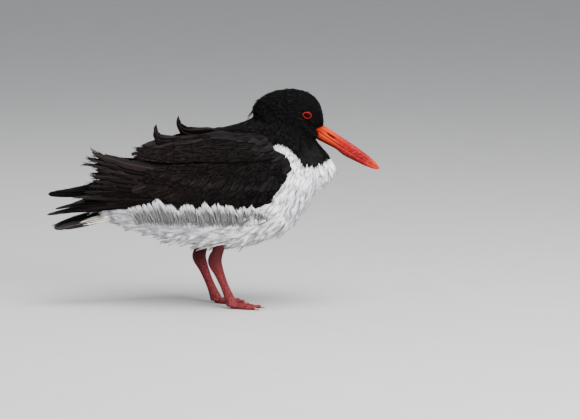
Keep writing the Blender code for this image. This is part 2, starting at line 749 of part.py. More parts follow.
def make_wing(side, name, flank, material):
    wing = wing_pad(name, flank, side, material)
    draw = random.Random(SEED + side)
    pieces = []
    for label, count, width, stations, root_lift, tip_lift, roots, tips in WING_TIERS:
        for i in range(count):
            t = i / (count - 1)
            root, tip = line_at(roots, t), line_at(tips, t)
            tip = tip + np.array((draw.uniform(-2, 2), draw.uniform(-0.6, 0.6))) * UNEVENNESS
            tuck = draw.uniform(-0.15, 0.15)
            if label == "primary" and side > 0:
                tip = tip + np.array((0.0, FAR_TIP_RAISE))
            ahead = (tip - root) / np.linalg.norm(tip - root)
            cross = np.array((-ahead[1], ahead[0]))
            path, across = [], []
            for k in range(stations):
                s = k / (stations - 1)
                lift = root_lift + (tip_lift - root_lift) * s + tuck
                spot = root + (tip - root) * s
                middle = flank.point(*spot, lift, side)
                below = flank.point(*(spot + cross * 3), lift - SHINGLE, side)
                above = flank.point(*(spot - cross * 3), lift + SHINGLE, side)
                way = below - above
                path.append(middle)
                across.append(way.normalized() * side)
            pieces.append(feather(f"{name}_{label}_{i}", path, across, width, material))
    fuse(wing, pieces, "MANIFOLD")
    return wing


def bezier(points, t):
    points = [Vector(p) for p in points]
    while len(points) > 1:
        points = [a.lerp(b, t) for a, b in zip(points, points[1:])]
    return points[0]


def loose_feather(name, bends, twist, width, material, stations=5):
    """A feather in the open, along a bent path. A twist of zero lays it level across the bird."""
    path = [bezier(bends, i / (stations - 1)) for i in range(stations)]
    level = Vector((0.0, 1.0, 0.0))
    across = []
    for i in range(stations):
        ahead = (path[min(i + 1, stations - 1)] - path[max(i - 1, 0)]).normalized()
        upright = ahead.cross(level).normalized()
        across.append(level * math.cos(twist) + upright * math.sin(twist))
    return feather(name, path, across, width, material)


def tuft(name, u, v, draw, material):
    """A flat lock of soft feathers that bends out of the body and tapers to a point."""
    normal = body_normal(u, v)
    lie = (body_point(u - 0.3, v) - body_point(u + 0.3, v)).normalized()
    across = normal.cross(lie).normalized()
    length = TUFT_LENGTH * draw.uniform(0.85, 1.15)
    swing = draw.uniform(-0.12, 0.12)
    root = body_point(u, v) + lie * length * -0.35
    rings = []
    for share in (0.0, 0.4, 0.75, 1.0):
        height = TUFT_STANDS_OUT * share**2 - 1.6 * (1 - share)
        middle = root + lie * length * share + across * length * swing * share + normal * height
        half = TUFT_WIDTH / 2 * (0.75 + 0.6 * share - 1.27 * share**2)
        thick = TUFT_THICKNESS / 2 * (1.15 - share)
        rings.append([middle + across * half, middle + normal * thick, middle - across * half,
                      middle - normal * thick])
    return loft(name, rings, material)


def make_tufts(torso, material):
    draw = random.Random(SEED)
    tufts = []
    first, last, count = TUFT_ROWS
    for row in range(count):
        u = first + (last - first) * row / (count - 1)
        for angle in TUFT_ANGLES[row % 2]:
            shifted = math.radians(angle + draw.uniform(-4, 4))
            tufts.append(tuft(f"tuft_{row}_{angle}", u + draw.uniform(-0.15, 0.15), shifted, draw, material))
    room = clearance("tuft_room", tufts, TUFT_GAP)
    fuse(torso, tufts, "MANIFOLD")
    part_touching(torso)
    return room


def blow_up_back(mantle, material):
    pieces = []
    for i, (bends, width) in enumerate(BLOWN_FEATHERS):
        pieces.append(loose_feather(f"blown_{i}", bends, math.radians(BLOWN_TWIST), width, material, 7))
    room = clearance("blown_room", pieces)
    fuse(mantle, pieces, "MANIFOLD")
    part_touching(mantle)
    return room


def make_tail(material):
    rings = []
    for i in range(8):
        x, z, depth, width = curve_through(TAIL_ROOT, i * (len(TAIL_ROOT) - 1) / 7)
        rings.append([Vector((x, width * math.sin(a), z + depth * math.cos(a)))
                      for a in (2 * math.pi * k / 20 for k in range(20))])
    tail = loft("tail", rings, material)
    draw = random.Random(SEED)
    pieces = []
    for i in range(TAIL_FEATHERS):
        spread = 2 * i / (TAIL_FEATHERS - 1) - 1
        out = abs(spread)
        drop = TAIL_ROOF * out**1.3
        lift = 0.5 * (1 - out) + draw.uniform(0, 0.4)
        root = (-100.0, spread * 9.0, 94.5 - drop * 0.4 + lift)
        middle = (-130.0, spread * 17.0, 91.0 - drop * 0.8 + lift)
        tip = (-153.5 - 7.0 * out, spread * 21.0, 86.0 - drop + lift)
        roof = math.radians(32.0) * spread
        pieces.append(loose_feather(f"tail_{i}", (root, middle, tip), roof, 15.0, material, 4))
    fuse(tail, pieces, "MANIFOLD")
    return tail


def main():
    global PARTS, CUTTERS
    clear_scene()
    PARTS = bpy.data.collections.new("oystercatcher")
    CUTTERS = bpy.data.collections.new("clearances")
    for collection in (PARTS, CUTTERS):
        bpy.context.scene.collection.children.link(collection)

    black = paint("black_plumage", (0.012, 0.011, 0.012), 0.7)
    white = paint("white_plumage", (0.8, 0.8, 0.82), 0.8)
    bill_red = paint("bill_horn", (0.80, 0.10, 0.04), 0.35)
    leg_pink = paint("leg_skin", (0.48, 0.11, 0.12), 0.5)
    eye_red = paint("eye", (0.25, 0.01, 0.01), 0.1)
    lid_red = paint("eye_ring", (0.75, 0.09, 0.03), 0.45)

    torso = body_piece("torso", TORSO_START, NECK_START, white, inset=mantle_depth, trim_start=False)
    neck = body_piece("neck", NECK_START, HEAD_START, black)
    head = body_piece("head", HEAD_START, HEAD_END, black, trim_end=False)
    mantle = make_mantle(black)
    flank = Flank((torso, mantle))
    whole = body_piece("body", TORSO_START, NECK_START, None, trim_start=False)
    body_room = clearance("body_room", [whole])
    bpy.data.objects.remove(whole, do_unlink=True)
    tuft_room = make_tufts(torso, white)
    blown_room = blow_up_back(mantle, black)

    upper, lower = make_bill(bill_red)
    cut_away(head, clearance("bill", [upper]))
    cut_away(head, clearance("jaw", [lower]))
    for side, label in ((-1, "right"), (1, "left")):
        eye = make_eye(side, f"eye_{label}", eye_red)
        lids = make_lids(side, f"lids_{label}", lid_red)
        eye_room = clearance(f"eye_room_{label}", [eye])
        cut_away(head, clearance(f"lid_room_{label}", [lids]))
        cut_away(head, eye_room)
        cut_away(lids, eye_room)
        keep_largest(lids)
    keep_largest(head)

    for side, label, ankle_x in ((-1, "right", NEAR_ANKLE_X), (1, "left", FAR_ANKLE_X)):
        leg = make_leg(side, f"leg_{label}", ankle_x, leg_pink)
        cut_away(leg, body_room, "MANIFOLD")
        cut_away(leg, tuft_room, "MANIFOLD")
        keep_largest(leg)
        make_foot(side, f"foot_{label}", ankle_x, leg_pink)

    tail = make_tail(white)
    cut_away(tail, body_room, "MANIFOLD")
    cut_away(tail, tuft_room, "MANIFOLD")
    keep_largest(tail)
    part_touching(tail)
    for side, label in ((-1, "right"), (1, "left")):
        wing = make_wing(side, f"wing_{label}", flank, black)
        for room in (body_room, tuft_room, blown_room):
            cut_away(wing, room, "MANIFOLD")
        keep_largest(wing)
        part_touching(wing)


main()
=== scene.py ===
"""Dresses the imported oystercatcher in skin, feathers, horn and scales, and lights it for its portrait.

Sizes are in millimetres until a mesh is made. The bird faces +X with its left side at +Y. The
same fan of cross-sections as in the solids carries the skin and every body feather.
"""

import math

import bmesh
import bpy
import numpy as np
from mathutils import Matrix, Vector
from mathutils.bvhtree import BVHTree
from mathutils.kdtree import KDTree


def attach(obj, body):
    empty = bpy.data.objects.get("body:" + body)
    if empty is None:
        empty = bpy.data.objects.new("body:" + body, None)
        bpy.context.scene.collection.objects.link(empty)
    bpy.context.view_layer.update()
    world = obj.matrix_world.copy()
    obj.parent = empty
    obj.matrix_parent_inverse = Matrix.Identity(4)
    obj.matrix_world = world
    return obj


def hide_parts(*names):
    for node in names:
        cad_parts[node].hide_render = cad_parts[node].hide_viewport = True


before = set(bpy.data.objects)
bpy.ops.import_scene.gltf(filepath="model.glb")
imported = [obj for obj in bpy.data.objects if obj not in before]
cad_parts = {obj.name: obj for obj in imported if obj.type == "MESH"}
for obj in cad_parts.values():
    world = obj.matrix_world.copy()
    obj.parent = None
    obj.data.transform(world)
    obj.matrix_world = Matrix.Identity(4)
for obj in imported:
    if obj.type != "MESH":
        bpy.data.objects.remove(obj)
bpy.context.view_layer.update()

MM = 0.001
SEED = 7
# Steps of an even scatter over a square: multiples of each, less their whole part.
SCATTER = (0.7548776662466927, 0.5698402909980532)

# Each cross-section is a slanted slice: its back and front points in the middle plane,
# its half width, and how far down from the back point it is widest, as a share.
SECTIONS = (
    (-166.0, 99.0, -166.0, 84.0, 7.0, 0.50),
    (-136.0, 106.0, -136.0, 88.0, 8.0, 0.50),
    (-107.5, 114.0, -107.5, 97.0, 10.0, 0.50),
    (-99.5, 119.0, -100.5, 88.0, 19.0, 0.50),
    (-85.5, 131.0, -86.5, 78.5, 28.0, 0.50),
    (-68.5, 144.0, -68.5, 73.5, 37.0, 0.50),
    (-48.5, 156.0, -48.5, 68.5, 45.0, 0.50),
    (-23.5, 167.5, -23.5, 62.5, 51.0, 0.50),
    (1.5, 177.0, 1.5, 58.5, 55.0, 0.50),
    (24.5, 183.5, 26.5, 60.0, 56.0, 0.50),
    (35.5, 187.9, 48.5, 66.5, 55.5, 0.52),
    (39.0, 190.4, 70.5, 75.5, 52.0, 0.55),
    (40.0, 192.9, 88.5, 95.5, 47.0, 0.58),
    (39.5, 195.5, 105.5, 117.0, 41.5, 0.60),
    (39.3, 197.5, 118.5, 133.0, 36.0, 0.60),
    (39.0, 199.5, 117.5, 147.0, 31.0, 0.57),
    (40.5, 202.0, 108.5, 159.0, 27.0, 0.54),
    (43.5, 205.5, 102.5, 166.2, 24.3, 0.52),
    (50.5, 211.1, 102.0, 168.3, 23.0, 0.50),
    (61.5, 216.1, 103.5, 168.8, 22.3, 0.50),
    (74.5, 218.0, 105.0, 169.8, 21.3, 0.50),
    (87.5, 216.8, 106.5, 171.3, 19.3, 0.50),
    (98.0, 212.6, 108.0, 172.3, 16.0, 0.50),
    (104.5, 206.0, 109.0, 173.3, 12.8, 0.50),
    (108.0, 197.5, 109.5, 173.8, 9.8, 0.50),
    (109.3, 189.4, 110.0, 174.3, 7.5, 0.50),
    (109.8, 183.5, 110.3, 175.3, 5.0, 0.50),
)
TORSO_START = 2.0
HEAD_START = 17.0
HEAD_END = len(SECTIONS) - 1.0
# At 0.5 each slice would be an ellipse. A little less fills its corners.
ROUNDNESS = 0.47

# How far the coat stands off the skin along the fan, at the back and at the belly.
BACK_DEPTH = ((2, 3.0), (6, 3.5), (12, 3.5), (15, 3.0), (18, 2.0), (22, 1.3), (26, 0.5))
BELLY_DEPTH = ((2, 3.5), (5, 5.0), (9, 6.0), (13, 5.5), (15, 4.0), (17, 2.4), (21, 1.5), (26, 0.5))

# The lower edge of the black bib and mantle in side view: forward, height in the middle plane.
BIB_EDGE = (
    (-110, 112), (-85, 122), (-60, 134), (-20, 150), (20, 158), (48, 160), (58.5, 161.2), (68.5, 161.8),
    (75.2, 158), (81.9, 151.2), (87.6, 142.6), (94.3, 139.1), (101, 139.6), (108.7, 143.5),
    (115.4, 148.3), (128, 156),
)
# How much higher the edge lies for each millimetre from the middle plane.
BIB_RISE = 0.12

# The bill: its root in side view, how many degrees it points down, its length, and its profiles,
# which give the height across it, or half its width, at places along it.
BILL_ROOT = (109.7, 182.0)
BILL_SLOPE = 35.1
BILL_LENGTH = 70.5
CULMEN = ((-8, -0.6), (0, 0.0), (15, 0.6), (35, 1.2), (52, 1.0), (64, -0.2), (70.5, -2.2))
MOUTH_LINE = ((-8, -8.6), (-3, -8.2), (2.5, -7.5), (21.5, -7.4), (33, -7.0), (46, -6.1), (60, -4.7),
              (70.5, -3.9))
BILL_UNDERSIDE = ((-8, -13.6), (2.5, -15.0), (13, -13.7), (24, -12.4), (34, -13.0), (46.5, -11.3),
                  (57, -9.5), (66, -7.2), (70.5, -5.0))
BILL_HALF_WIDTH = ((-8, 5.2), (0, 5.4), (15, 4.4), (33, 3.3), (50, 2.5), (64, 1.8), (70.5, 1.0))
# Where the feathers of the face end on the bill: height across the bill, place along it.
FEATHER_LINE = ((-17, 2.0), (-15, 2.1), (-13.7, 2.7), (-11.9, 2.1), (-9.3, 1.4), (-8.6, -1.5),
                (-7.7, -3.6), (-5.5, -3.3), (-2.3, -0.9), (0, -0.2), (3, 0.2))
# Place along the bill, height across it, half length, half height and depth.
NOSTRIL = (12.2, -4.2, 5.2, 0.85, 1.5)

# The eye in side view. The rings of the pupil and the iris end at these shares of its radius.
EYE_CENTRE = (93.7, 194.0)
EYE_RADIUS = 4.8
EYE_STANDS_OUT = 1.3
EYE_TILT = -14.0
PUPIL = 0.33
IRIS = 0.80
RING_LENGTH = 8.2
RING_HEIGHT = 6.2

LEG_SPREAD = 21.0
# Along each leg from the thigh: forward, height, half depth fore and aft, half width.
LEG_LINE = (
    (6.5, 84.0, 5.6, 4.9), (4.6, 62.0, 5.8, 4.9), (1.7, 54.0, 6.7, 5.3), (0.5, 47.5, 7.0, 5.6),
    (2.2, 41.0, 6.6, 5.0), (5.4, 34.0, 5.3, 4.1), (9.6, 24.0, 4.6, 3.6), (13.9, 14.0, 4.9, 3.9),
    (16.6, 7.5, 5.8, 4.9), (18.3, 2.0, 6.2, 5.6),
)
# How far forward each leg stands: the right one, -1, and the left one, 1.
ANKLES = {-1: 1.0, 1: -15.4}
# Length of each toe, and the degrees that it turns in towards the other foot.
TOES = (("inner", 23.0, 40.0), ("middle", 29.0, 8.0), ("outer", 26.0, -25.0))
TOE_HALF_WIDTH = 3.1
CLAW_LENGTH = 4.5
# How far a claw's root goes back into its toe.
CLAW_ROOT = 1.2

# Where the wing lies behind the widest part of the body: forward, then height and distance from
# the middle plane at its top, middle and bottom.
WING_SHELL = (
    (-168.0, 118.0, 3.0, 105.0, 6.0, 94.0, 7.0),
    (-130.0, 132.0, 3.0, 115.0, 11.0, 98.0, 13.0),
    (-100.0, 146.0, 3.5, 126.0, 20.0, 104.0, 24.0),
    (-70.0, 154.0, 9.0, 130.0, 32.0, 105.0, 38.0),
    (-45.0, 160.0, 17.0, 135.0, 39.0, 105.0, 46.5),
    (-20.0, 166.0, 25.0, 140.0, 44.0, 105.0, 51.5),
    (20.0, 168.0, 26.0, 140.0, 46.0, 105.0, 54.0),
    (90.0, 150.0, 20.0, 135.0, 30.0, 110.0, 34.0),
)
# How near to the middle plane a wing may come, and over what distance it bends away.
LEAST_FROM_MIDDLE = 2.6
BEND = 3.0
# The folded wing in side view: forward, top edge, bottom edge.
WING_EDGE = (
    (-100.0, 139.0, 106.0), (-80.0, 147.5, 108.0), (-58.0, 154.0, 109.5), (-36.0, 160.0, 109.5),
    (-12.0, 165.5, 109.5), (10.0, 167.5, 108.5), (30.0, 168.0, 108.0), (45.5, 167.3, 110.0),
    (57.5, 165.6, 117.0), (67.5, 161.3, 126.0), (74.0, 156.0, 135.0), (77.0, 149.0, 142.0),
)


def smooth(t):
    t = np.clip(t, 0.0, 1.0)
    return t * t * (3.0 - 2.0 * t)


def unit(vectors):
    return vectors / np.maximum(np.linalg.norm(vectors, axis=-1, keepdims=True), 1e-9)


def rows_at(table, t):
    """The rows at t on a Catmull-Rom curve through a table, where t counts rows and may be an array."""
    table = np.asarray(table, float)
    last = len(table) - 1
    t = np.clip(np.asarray(t, float), 0, last)
    i = np.minimum(t.astype(int), last - 1)
    f = (t - i)[..., None]
    a, b, c, d = (table[np.clip(i + k, 0, last)] for k in (-1, 0, 1, 2))
    return 0.5 * (2 * b + (c - a) * f + (2 * a - 5 * b + 4 * c - d) * f**2 + (3 * b - a - 3 * c + d) * f**3)


def along(table, x):
    """The value at x on a smooth line through a table of (x, value)."""
    xs, values = np.array(table, float).T
    return rows_at(values[:, None], np.interp(x, xs, np.arange(len(xs))))[..., 0]


def straight_along(table, x):
    """The value at x on straight lines through a table of (x, value)."""
    return np.interp(x, *np.array(table, float).T)


def wing_edges(x):
    """The heights of the folded wing's top and bottom edges."""
    edge_x, top, bottom = np.array(WING_EDGE).T
    return np.interp(x, edge_x, top), np.interp(x, edge_x, bottom)


def body_points(u, v):
    """Points of the bird's outline: slice u of the fan, v round it from the back, 0, to the belly, pi."""
    u, v = np.broadcast_arrays(np.asarray(u, float), np.asarray(v, float))
    row = rows_at(SECTIONS, u)
    back, front = row[..., 0:2], row[..., 2:4]
    share = (1.0 - np.cos(v)) / 2.0
    skewed = share ** (math.log(0.5) / np.log(row[..., 5]))
    width = row[..., 4] * np.clip(4.0 * skewed * (1.0 - skewed), 0, None) ** ROUNDNESS
    middle = back + (front - back) * share[..., None]
    return np.stack([middle[..., 0], np.copysign(width, np.sin(v)), middle[..., 1]], axis=-1)


def body_frames(u, v):
    """Point, outward normal, lie of the feathers, way across them, and the speed along u and v."""
    step = 0.02
    ahead = np.minimum(u + step, HEAD_END)
    behind = np.maximum(u - step, 0.0)
    along_u = (body_points(ahead, v) - body_points(behind, v)) / (ahead - behind)[..., None]
    along_v = (body_points(u, v + step) - body_points(u, v - step)) / (2 * step)
    normal = unit(np.cross(along_u, along_v))
    lie = -unit(along_u)
    across = unit(np.cross(normal, lie))
    return (body_points(u, v), normal, lie, across,
            np.linalg.norm(along_u, axis=-1), np.linalg.norm(along_v, axis=-1))


def coat_depth(u, v):
    """How far the coat's surface stands off the skin."""
    belly = (1.0 - np.cos(v)) / 2.0
    return along(BACK_DEPTH, u) * (1 - belly) + along(BELLY_DEPTH, u) * belly


def blackness(points):
    """How far inside the black of bib and mantle a point of the body lies, in millimetres."""
    edge = straight_along(BIB_EDGE, points[..., 0])
    return points[..., 2] - BIB_RISE * np.abs(points[..., 1]) - edge


def scattered(count, shift=0.0):
    """Two rows of numbers from 0 to 1 that fill a square evenly."""
    n = np.arange(count)
    return (shift + n * SCATTER[0]) % 1.0, (shift + n * SCATTER[1]) % 1.0


def spread(spacing, start, end, angles):
    """Roots evenly over a stretch of the body, as many millimetres apart as spacing(u, v) says."""
    us = np.linspace(start, end, 161)
    vs = np.linspace(*angles, 161)
    u, v = np.meshgrid((us[1:] + us[:-1]) / 2, (vs[1:] + vs[:-1]) / 2, indexing="ij")
    _, _, _, _, fast_u, fast_v = body_frames(u, v)
    weight = fast_u * fast_v / spacing(u, v) ** 2 * (us[1] - us[0]) * (vs[1] - vs[0])
    count = int(weight.sum())
    a, b = scattered(count, 0.5)
    total = np.concatenate([[0.0], np.cumsum(weight.sum(axis=1))])
    found_u = np.interp(a, total / total[-1], us)
    row = np.clip(np.searchsorted(us, found_u) - 1, 0, len(us) - 2)
    found_v = np.empty(count)
    for i in range(len(us) - 1):
        here = row == i
        share = np.concatenate([[0.0], np.cumsum(weight[i])])
        found_v[here] = np.interp(b[here], share / share[-1], vs)
    return found_u, (found_v + math.pi) % (2 * math.pi) - math.pi


def sweep_faces(stations, ring):
    """Triangles of one closed strip swept along its stations, with a flat cap at each end."""
    faces = []
    for i in range(stations - 1):
        for k in range(ring):
            a, b = i * ring + k, i * ring + (k + 1) % ring
            faces += [(a, a + ring, b + ring), (a, b + ring, b)]
    last = (stations - 1) * ring
    faces += [(0, k, k + 1) for k in range(1, ring - 1)]
    faces += [(last, last + k + 1, last + k) for k in range(1, ring - 1)]
    return np.array(faces)


def hoop_faces(stations, ring):
    """Triangles of a strip whose last station joins its first, without caps."""
    caps = 2 * (ring - 2)
    return sweep_faces(stations + 1, ring)[:-caps] % (stations * ring)


def lock_faces(stations):
    """Triangles of one lock: three-sided at each station, then drawn to a point."""
    faces = sweep_faces(stations, 3)[:-1].tolist()
    last, tip = (stations - 1) * 3, stations * 3
    faces += [(last + k, tip, last + (k + 1) % 3) for k in range(3)]
    return np.array(faces)


# How much of the unwrap one feather's patch takes.
PATCH = 0.003


class Coat:
    """Feathers gathered for one piece of the coat."""

    def __init__(self):
        self.parts = {key: [] for key in ("points", "faces", "vane", "patch", "tone", "age")}
        self.count = 0

    def add(self, points, faces, vane, root, tone, age):
        """Takes points (feathers, k, 3), the faces of one feather, and what colours it.

        vane is the place on the feather, across and along; root is its place on the skin's unwrap.
        """
        feathers, k = points.shape[:2]
        offsets = self.count + k * np.arange(feathers)
        vane = np.broadcast_to(vane, (feathers, k, 2))
        self.count += feathers * k
        self.parts["points"].append(points.reshape(-1, 3))
        self.parts["faces"].append((faces[None] + offsets[:, None, None]).reshape(-1, 3))
        self.parts["vane"].append(vane.reshape(-1, 2))
        self.parts["patch"].append((root[:, None, :] + (vane - 0.5) * PATCH).reshape(-1, 2))
        self.parts["tone"].append(np.repeat(tone, k))
        self.parts["age"].append(np.repeat(age, k))

    def build(self, name, material, slot):
        parts = {key: np.concatenate(rows) for key, rows in self.parts.items()}
        mesh = mesh_of(name, parts["points"], parts["faces"])
        corners = parts["faces"].reshape(-1)
        for label, values in (("OFBake", np.clip(parts["patch"], 0, 1)), ("vane", parts["vane"])):
            layer = mesh.uv_layers.new(name=label)
            layer.data.foreach_set("uv", values[corners].astype(np.float32).reshape(-1))
        add_values(mesh, tone=parts["tone"], age=parts["age"])
        return piece(name, mesh, material)


def mesh_of(name, points, faces):
    """A smooth-shaded mesh from points in millimetres and triangles."""
    mesh = bpy.data.meshes.new(name)
    faces = np.asarray(faces, np.int32)
    mesh.vertices.add(len(points))
    mesh.vertices.foreach_set("co", (np.asarray(points, float) * MM).astype(np.float32).reshape(-1))
    mesh.loops.add(faces.size)
    mesh.loops.foreach_set("vertex_index", faces.reshape(-1))
    mesh.polygons.add(len(faces))
    mesh.polygons.foreach_set("loop_start", np.arange(0, faces.size, 3, dtype=np.int32))
    mesh.polygons.foreach_set("loop_total", np.full(len(faces), 3, np.int32))
    mesh.update(calc_edges=True)
    mesh.shade_smooth()
    return mesh


def add_values(mesh, **values):
    """Gives each point of a mesh the numbers that its finish reads by name."""
    for name, numbers in values.items():
        attribute = mesh.attributes.new(name, "FLOAT", "POINT")
        attribute.data.foreach_set("value", np.asarray(numbers, np.float32).reshape(-1))


def piece(name, mesh, material):
    """Puts a mesh in the scene as a piece of the bird."""
    obj = bpy.data.objects.new(name, mesh)
    bpy.context.scene.collection.objects.link(obj)
    mesh.materials.clear()
    mesh.materials.append(material)
    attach(obj, "root")
    return obj


def unwrap(u, v):
    """Where a root lies on the unwrap of the skin: along the fan, and round it."""
    return np.stack([0.02 + 0.96 * u / HEAD_END, 0.02 + 0.96 * (v / (2 * math.pi) + 0.5)], axis=-1)


def side_chart(x, z, low=85, tall=110):
    """Where a root lies on the unwrap when its place is known in side view."""
    return np.stack([(x + 180) / 280, (z - low) / tall], axis=-1)


def ways_across(path, out):
    """Across and up from feathers whose paths run over a surface that faces out."""
    ahead = unit(np.gradient(path, axis=1))
    across = unit(np.cross(out, ahead))
    return across, unit(np.cross(ahead, across))


# A lock's stations from root to tip, its breadth at each but the last, and its chart.
LOCK_SHARES = np.array((0.0, 0.28, 0.62, 1.0))
LOCK_WIDTHS = np.array((0.45, 1.0, 0.78))
LOCK_FACES = lock_faces(3)
LOCK_VANE = np.array([(x, s) for s in LOCK_SHARES[:3] for x in (0.0, 0.5, 1.0)] + [(0.5, 1.0)])
# Locks further than this from the one they are drawn to stay as they are.
GATHER_REACH = 14.0


class Locks:
    """Narrow soft feathers, each a path from its root in the skin to its tip."""

    def __init__(self, root, width, tone, path, normal, across):
        self.root, self.width, self.tone = root, width, tone
        self.path, self.normal, self.across = path, normal, across

    def part(self, wanted):
        rows = (self.root, self.width, self.tone, self.path, self.normal, self.across)
        return Locks(*(row[wanted] for row in rows))

    def gather(self, chosen, strength):
        """Draws each lock sideways towards the one chosen for it, so that they end in pointed tufts."""
        within = np.linalg.norm(self.path[chosen, 0] - self.path[:, 0], axis=1) < GATHER_REACH
        way = unit(self.path[chosen, 3] - self.path[chosen, 1])
        gap = self.path[chosen, 3] - self.path[:, 3]
        gap = gap - 0.85 * way * (gap * way).sum(axis=1, keepdims=True)
        pull = (strength * within)[:, None, None] * (LOCK_SHARES**1.3)[None, :, None]
        self.path = self.path + gap[:, None] * pull

    def fill(self, coat, age):
        width = self.width[:, None] * LOCK_WIDTHS[None] / 2
        side = self.across[:, :3] * width[..., None]
        crest = self.normal[:, :3] * (0.45 * width[..., None] + 0.05)
        middle = self.path[:, :3]
        rings = np.stack([middle - side, middle + crest, middle + side], axis=2)
        points = np.concatenate([rings.reshape(len(self.width), 9, 3), self.path[:, 3:]], axis=1)
        coat.add(points, LOCK_FACES, LOCK_VANE, self.root, self.tone, age)


def body_locks(u, v, length, width, stand, drift, draw):
    """Locks that run over the outline of the body, from the depth of the coat to its surface."""
    depth = coat_depth(u, v)
    own = draw.normal(0.0, 1.0, len(u)) * (0.22 + 0.2 * smooth((u - 15.0) / 2.0))
    at_u, at_v = u.copy(), v.copy()
    points, normals, acrosses = [], [], []
    for k, share in enumerate(LOCK_SHARES):
        point, normal, _, across, fast_u, fast_v = body_frames(at_u, at_v)
        rise = -depth * (1 - share) ** 1.5 + stand * share**1.8 + own * share
        points.append(point + normal * rise[:, None])
        normals.append(normal)
        acrosses.append(across)
        if k < len(LOCK_SHARES) - 1:
            step = (LOCK_SHARES[k + 1] - share) * length
            at_u = np.maximum(at_u - step / np.maximum(fast_u, 0.5), 0.05)
            at_v = at_v + drift * step / np.maximum(fast_v, 2.0)
    path, normal, across = (np.stack(rows, axis=1) for rows in (points, normals, acrosses))
    return Locks(unwrap(u, v), width, draw.random(len(u)), path, normal, across)


def nearest(points, every):
    """For each point, one of every so many points that is nearest to it, and that one's number."""
    guides = np.arange(0, len(points), every)
    tree = KDTree(len(guides))
    for n, i in enumerate(guides):
        tree.insert(points[i], n)
    tree.balance()
    number = np.array([tree.find(point)[1] for point in points])
    return guides[number], number


class Tone:
    """One socket of a material, so that what varies over a surface is written as a sum."""

    def __init__(self, finish, socket):
        self.finish, self.socket = finish, socket

    def __add__(self, other):
        return self.finish.math("ADD", self, other)

    def __sub__(self, other):
        return self.finish.math("SUBTRACT", self, other)

    def __rsub__(self, other):
        return self.finish.math("SUBTRACT", other, self)

    def __mul__(self, other):
        return self.finish.math("MULTIPLY", self, other)

    __radd__ = __add__
    __rmul__ = __mul__


class Finish:
    """A procedural material with one Principled shader."""

    def __init__(self, name, **constants):
        self.material = bpy.data.materials.new(name)
        self.material.use_nodes = True
        self.tree = self.material.node_tree
        self.shader = self.tree.nodes["Principled BSDF"]
        for socket, value in constants.items():
            self.shader.inputs[socket.replace("_", " ")].default_value = value

    def node(self, kind, settings=None, inputs=None, out=0):
        made = self.tree.nodes.new(kind)
        for key, value in (settings or {}).items():
            if key == "stops":
                while len(made.color_ramp.elements) < len(value):
                    made.color_ramp.elements.new(0.5)
                for element, (place, colour) in zip(made.color_ramp.elements, value):
                    element.position, element.color = place, (*colour, 1.0)
            else:
                setattr(made, key, value)
        for key, value in (inputs or {}).items():
            self.feed(made.inputs[key], value)
        return Tone(self, made.outputs[out])

    def feed(self, socket, value):
        if isinstance(value, Tone):
            self.tree.links.new(value.socket, socket)
        elif isinstance(value, tuple) and len(value) == 3 and socket.type == "RGBA":
            socket.default_value = (*value, 1.0)
        else:
            socket.default_value = value

    def math(self, operation, *values):
        return self.node("ShaderNodeMath", {"operation": operation}, dict(enumerate(values)))

    def mix(self, share, first, second):
        return self.node("ShaderNodeMix", {"data_type": "RGBA", "clamp_factor": True},
                         {0: share, 6: first, 7: second}, 2)

    def step(self, value, low, high):
        """From 0 at low to 1 at high, smoothly."""
        return self.node("ShaderNodeMapRange", {"interpolation_type": "SMOOTHSTEP"},
                         {0: value, 1: low, 2: high, 3: 0.0, 4: 1.0})

    def attribute(self, name):
        return self.node("ShaderNodeAttribute", {"attribute_name": name}, out="Fac")

    def split(self, vector):
        made = self.node("ShaderNodeSeparateXYZ", None, {0: vector})
        return [Tone(self, socket) for socket in made.socket.node.outputs]

    def vane(self):
        """Place on a feather: 0 on its shaft to 1 at either edge, and from root to tip."""
        across, down, _ = self.split(self.node("ShaderNodeUVMap", {"uv_map": "vane"}))
        return self.math("ABSOLUTE", across * 2.0 - 1.0), down

    def place(self):
        """Position in millimetres."""
        spot = self.node("ShaderNodeNewGeometry", out="Position")
        return self.node("ShaderNodeVectorMath", {"operation": "SCALE"}, {0: spot, "Scale": 1000.0})

    def noise(self, scale, detail=3.0, vector=None, stretch=None):
        vector = vector or self.place()
        if stretch:
            vector = self.node("ShaderNodeVectorMath", {"operation": "MULTIPLY"}, {0: vector, 1: stretch})
        return self.node("ShaderNodeTexNoise", None, {"Vector": vector, "Scale": scale, "Detail": detail})

    def bump(self, height, strength, distance):
        return self.node("ShaderNodeBump", None,
                         {"Height": height, "Strength": strength, "Distance": distance})

    def use(self, **inputs):
        for socket, value in inputs.items():
            self.feed(self.shader.inputs[socket.replace("_", " ")], value)
        return self.material


def black_down():
    """Short soft black feathers, darker at their roots as painted shade in the coat, and lighter and browner
    at their tips with age, which is wear and on the back also a painted sheen.
    """
    made = Finish("black_down", Specular_IOR_Level=0.06)
    _, down = made.vane()
    tone, age = made.attribute("tone"), made.attribute("age")
    # lit: how much of the tip colour shows; the darker roots are painted shade deep in the coat.
    lit = made.step(down, 0.3, 1.0) * (0.15 + 0.85 * tone)
    # Tips with age are browner with wear, and on the back they also carry a painted sheen.
    tips = made.mix(age, (0.0048, 0.0042, 0.0044), (0.0092, 0.0077, 0.008))
    colour = made.mix(lit, (0.0012, 0.0011, 0.0013), tips)
    return made.use(Base_Color=colour, Roughness=0.45 + 0.25 * tone)


def barb_ripples(made, edge, down):
    """Fine ripples that run out from the shaft and on towards the tip."""
    return made.math("SINE", edge * 21.0 - down * 240.0)


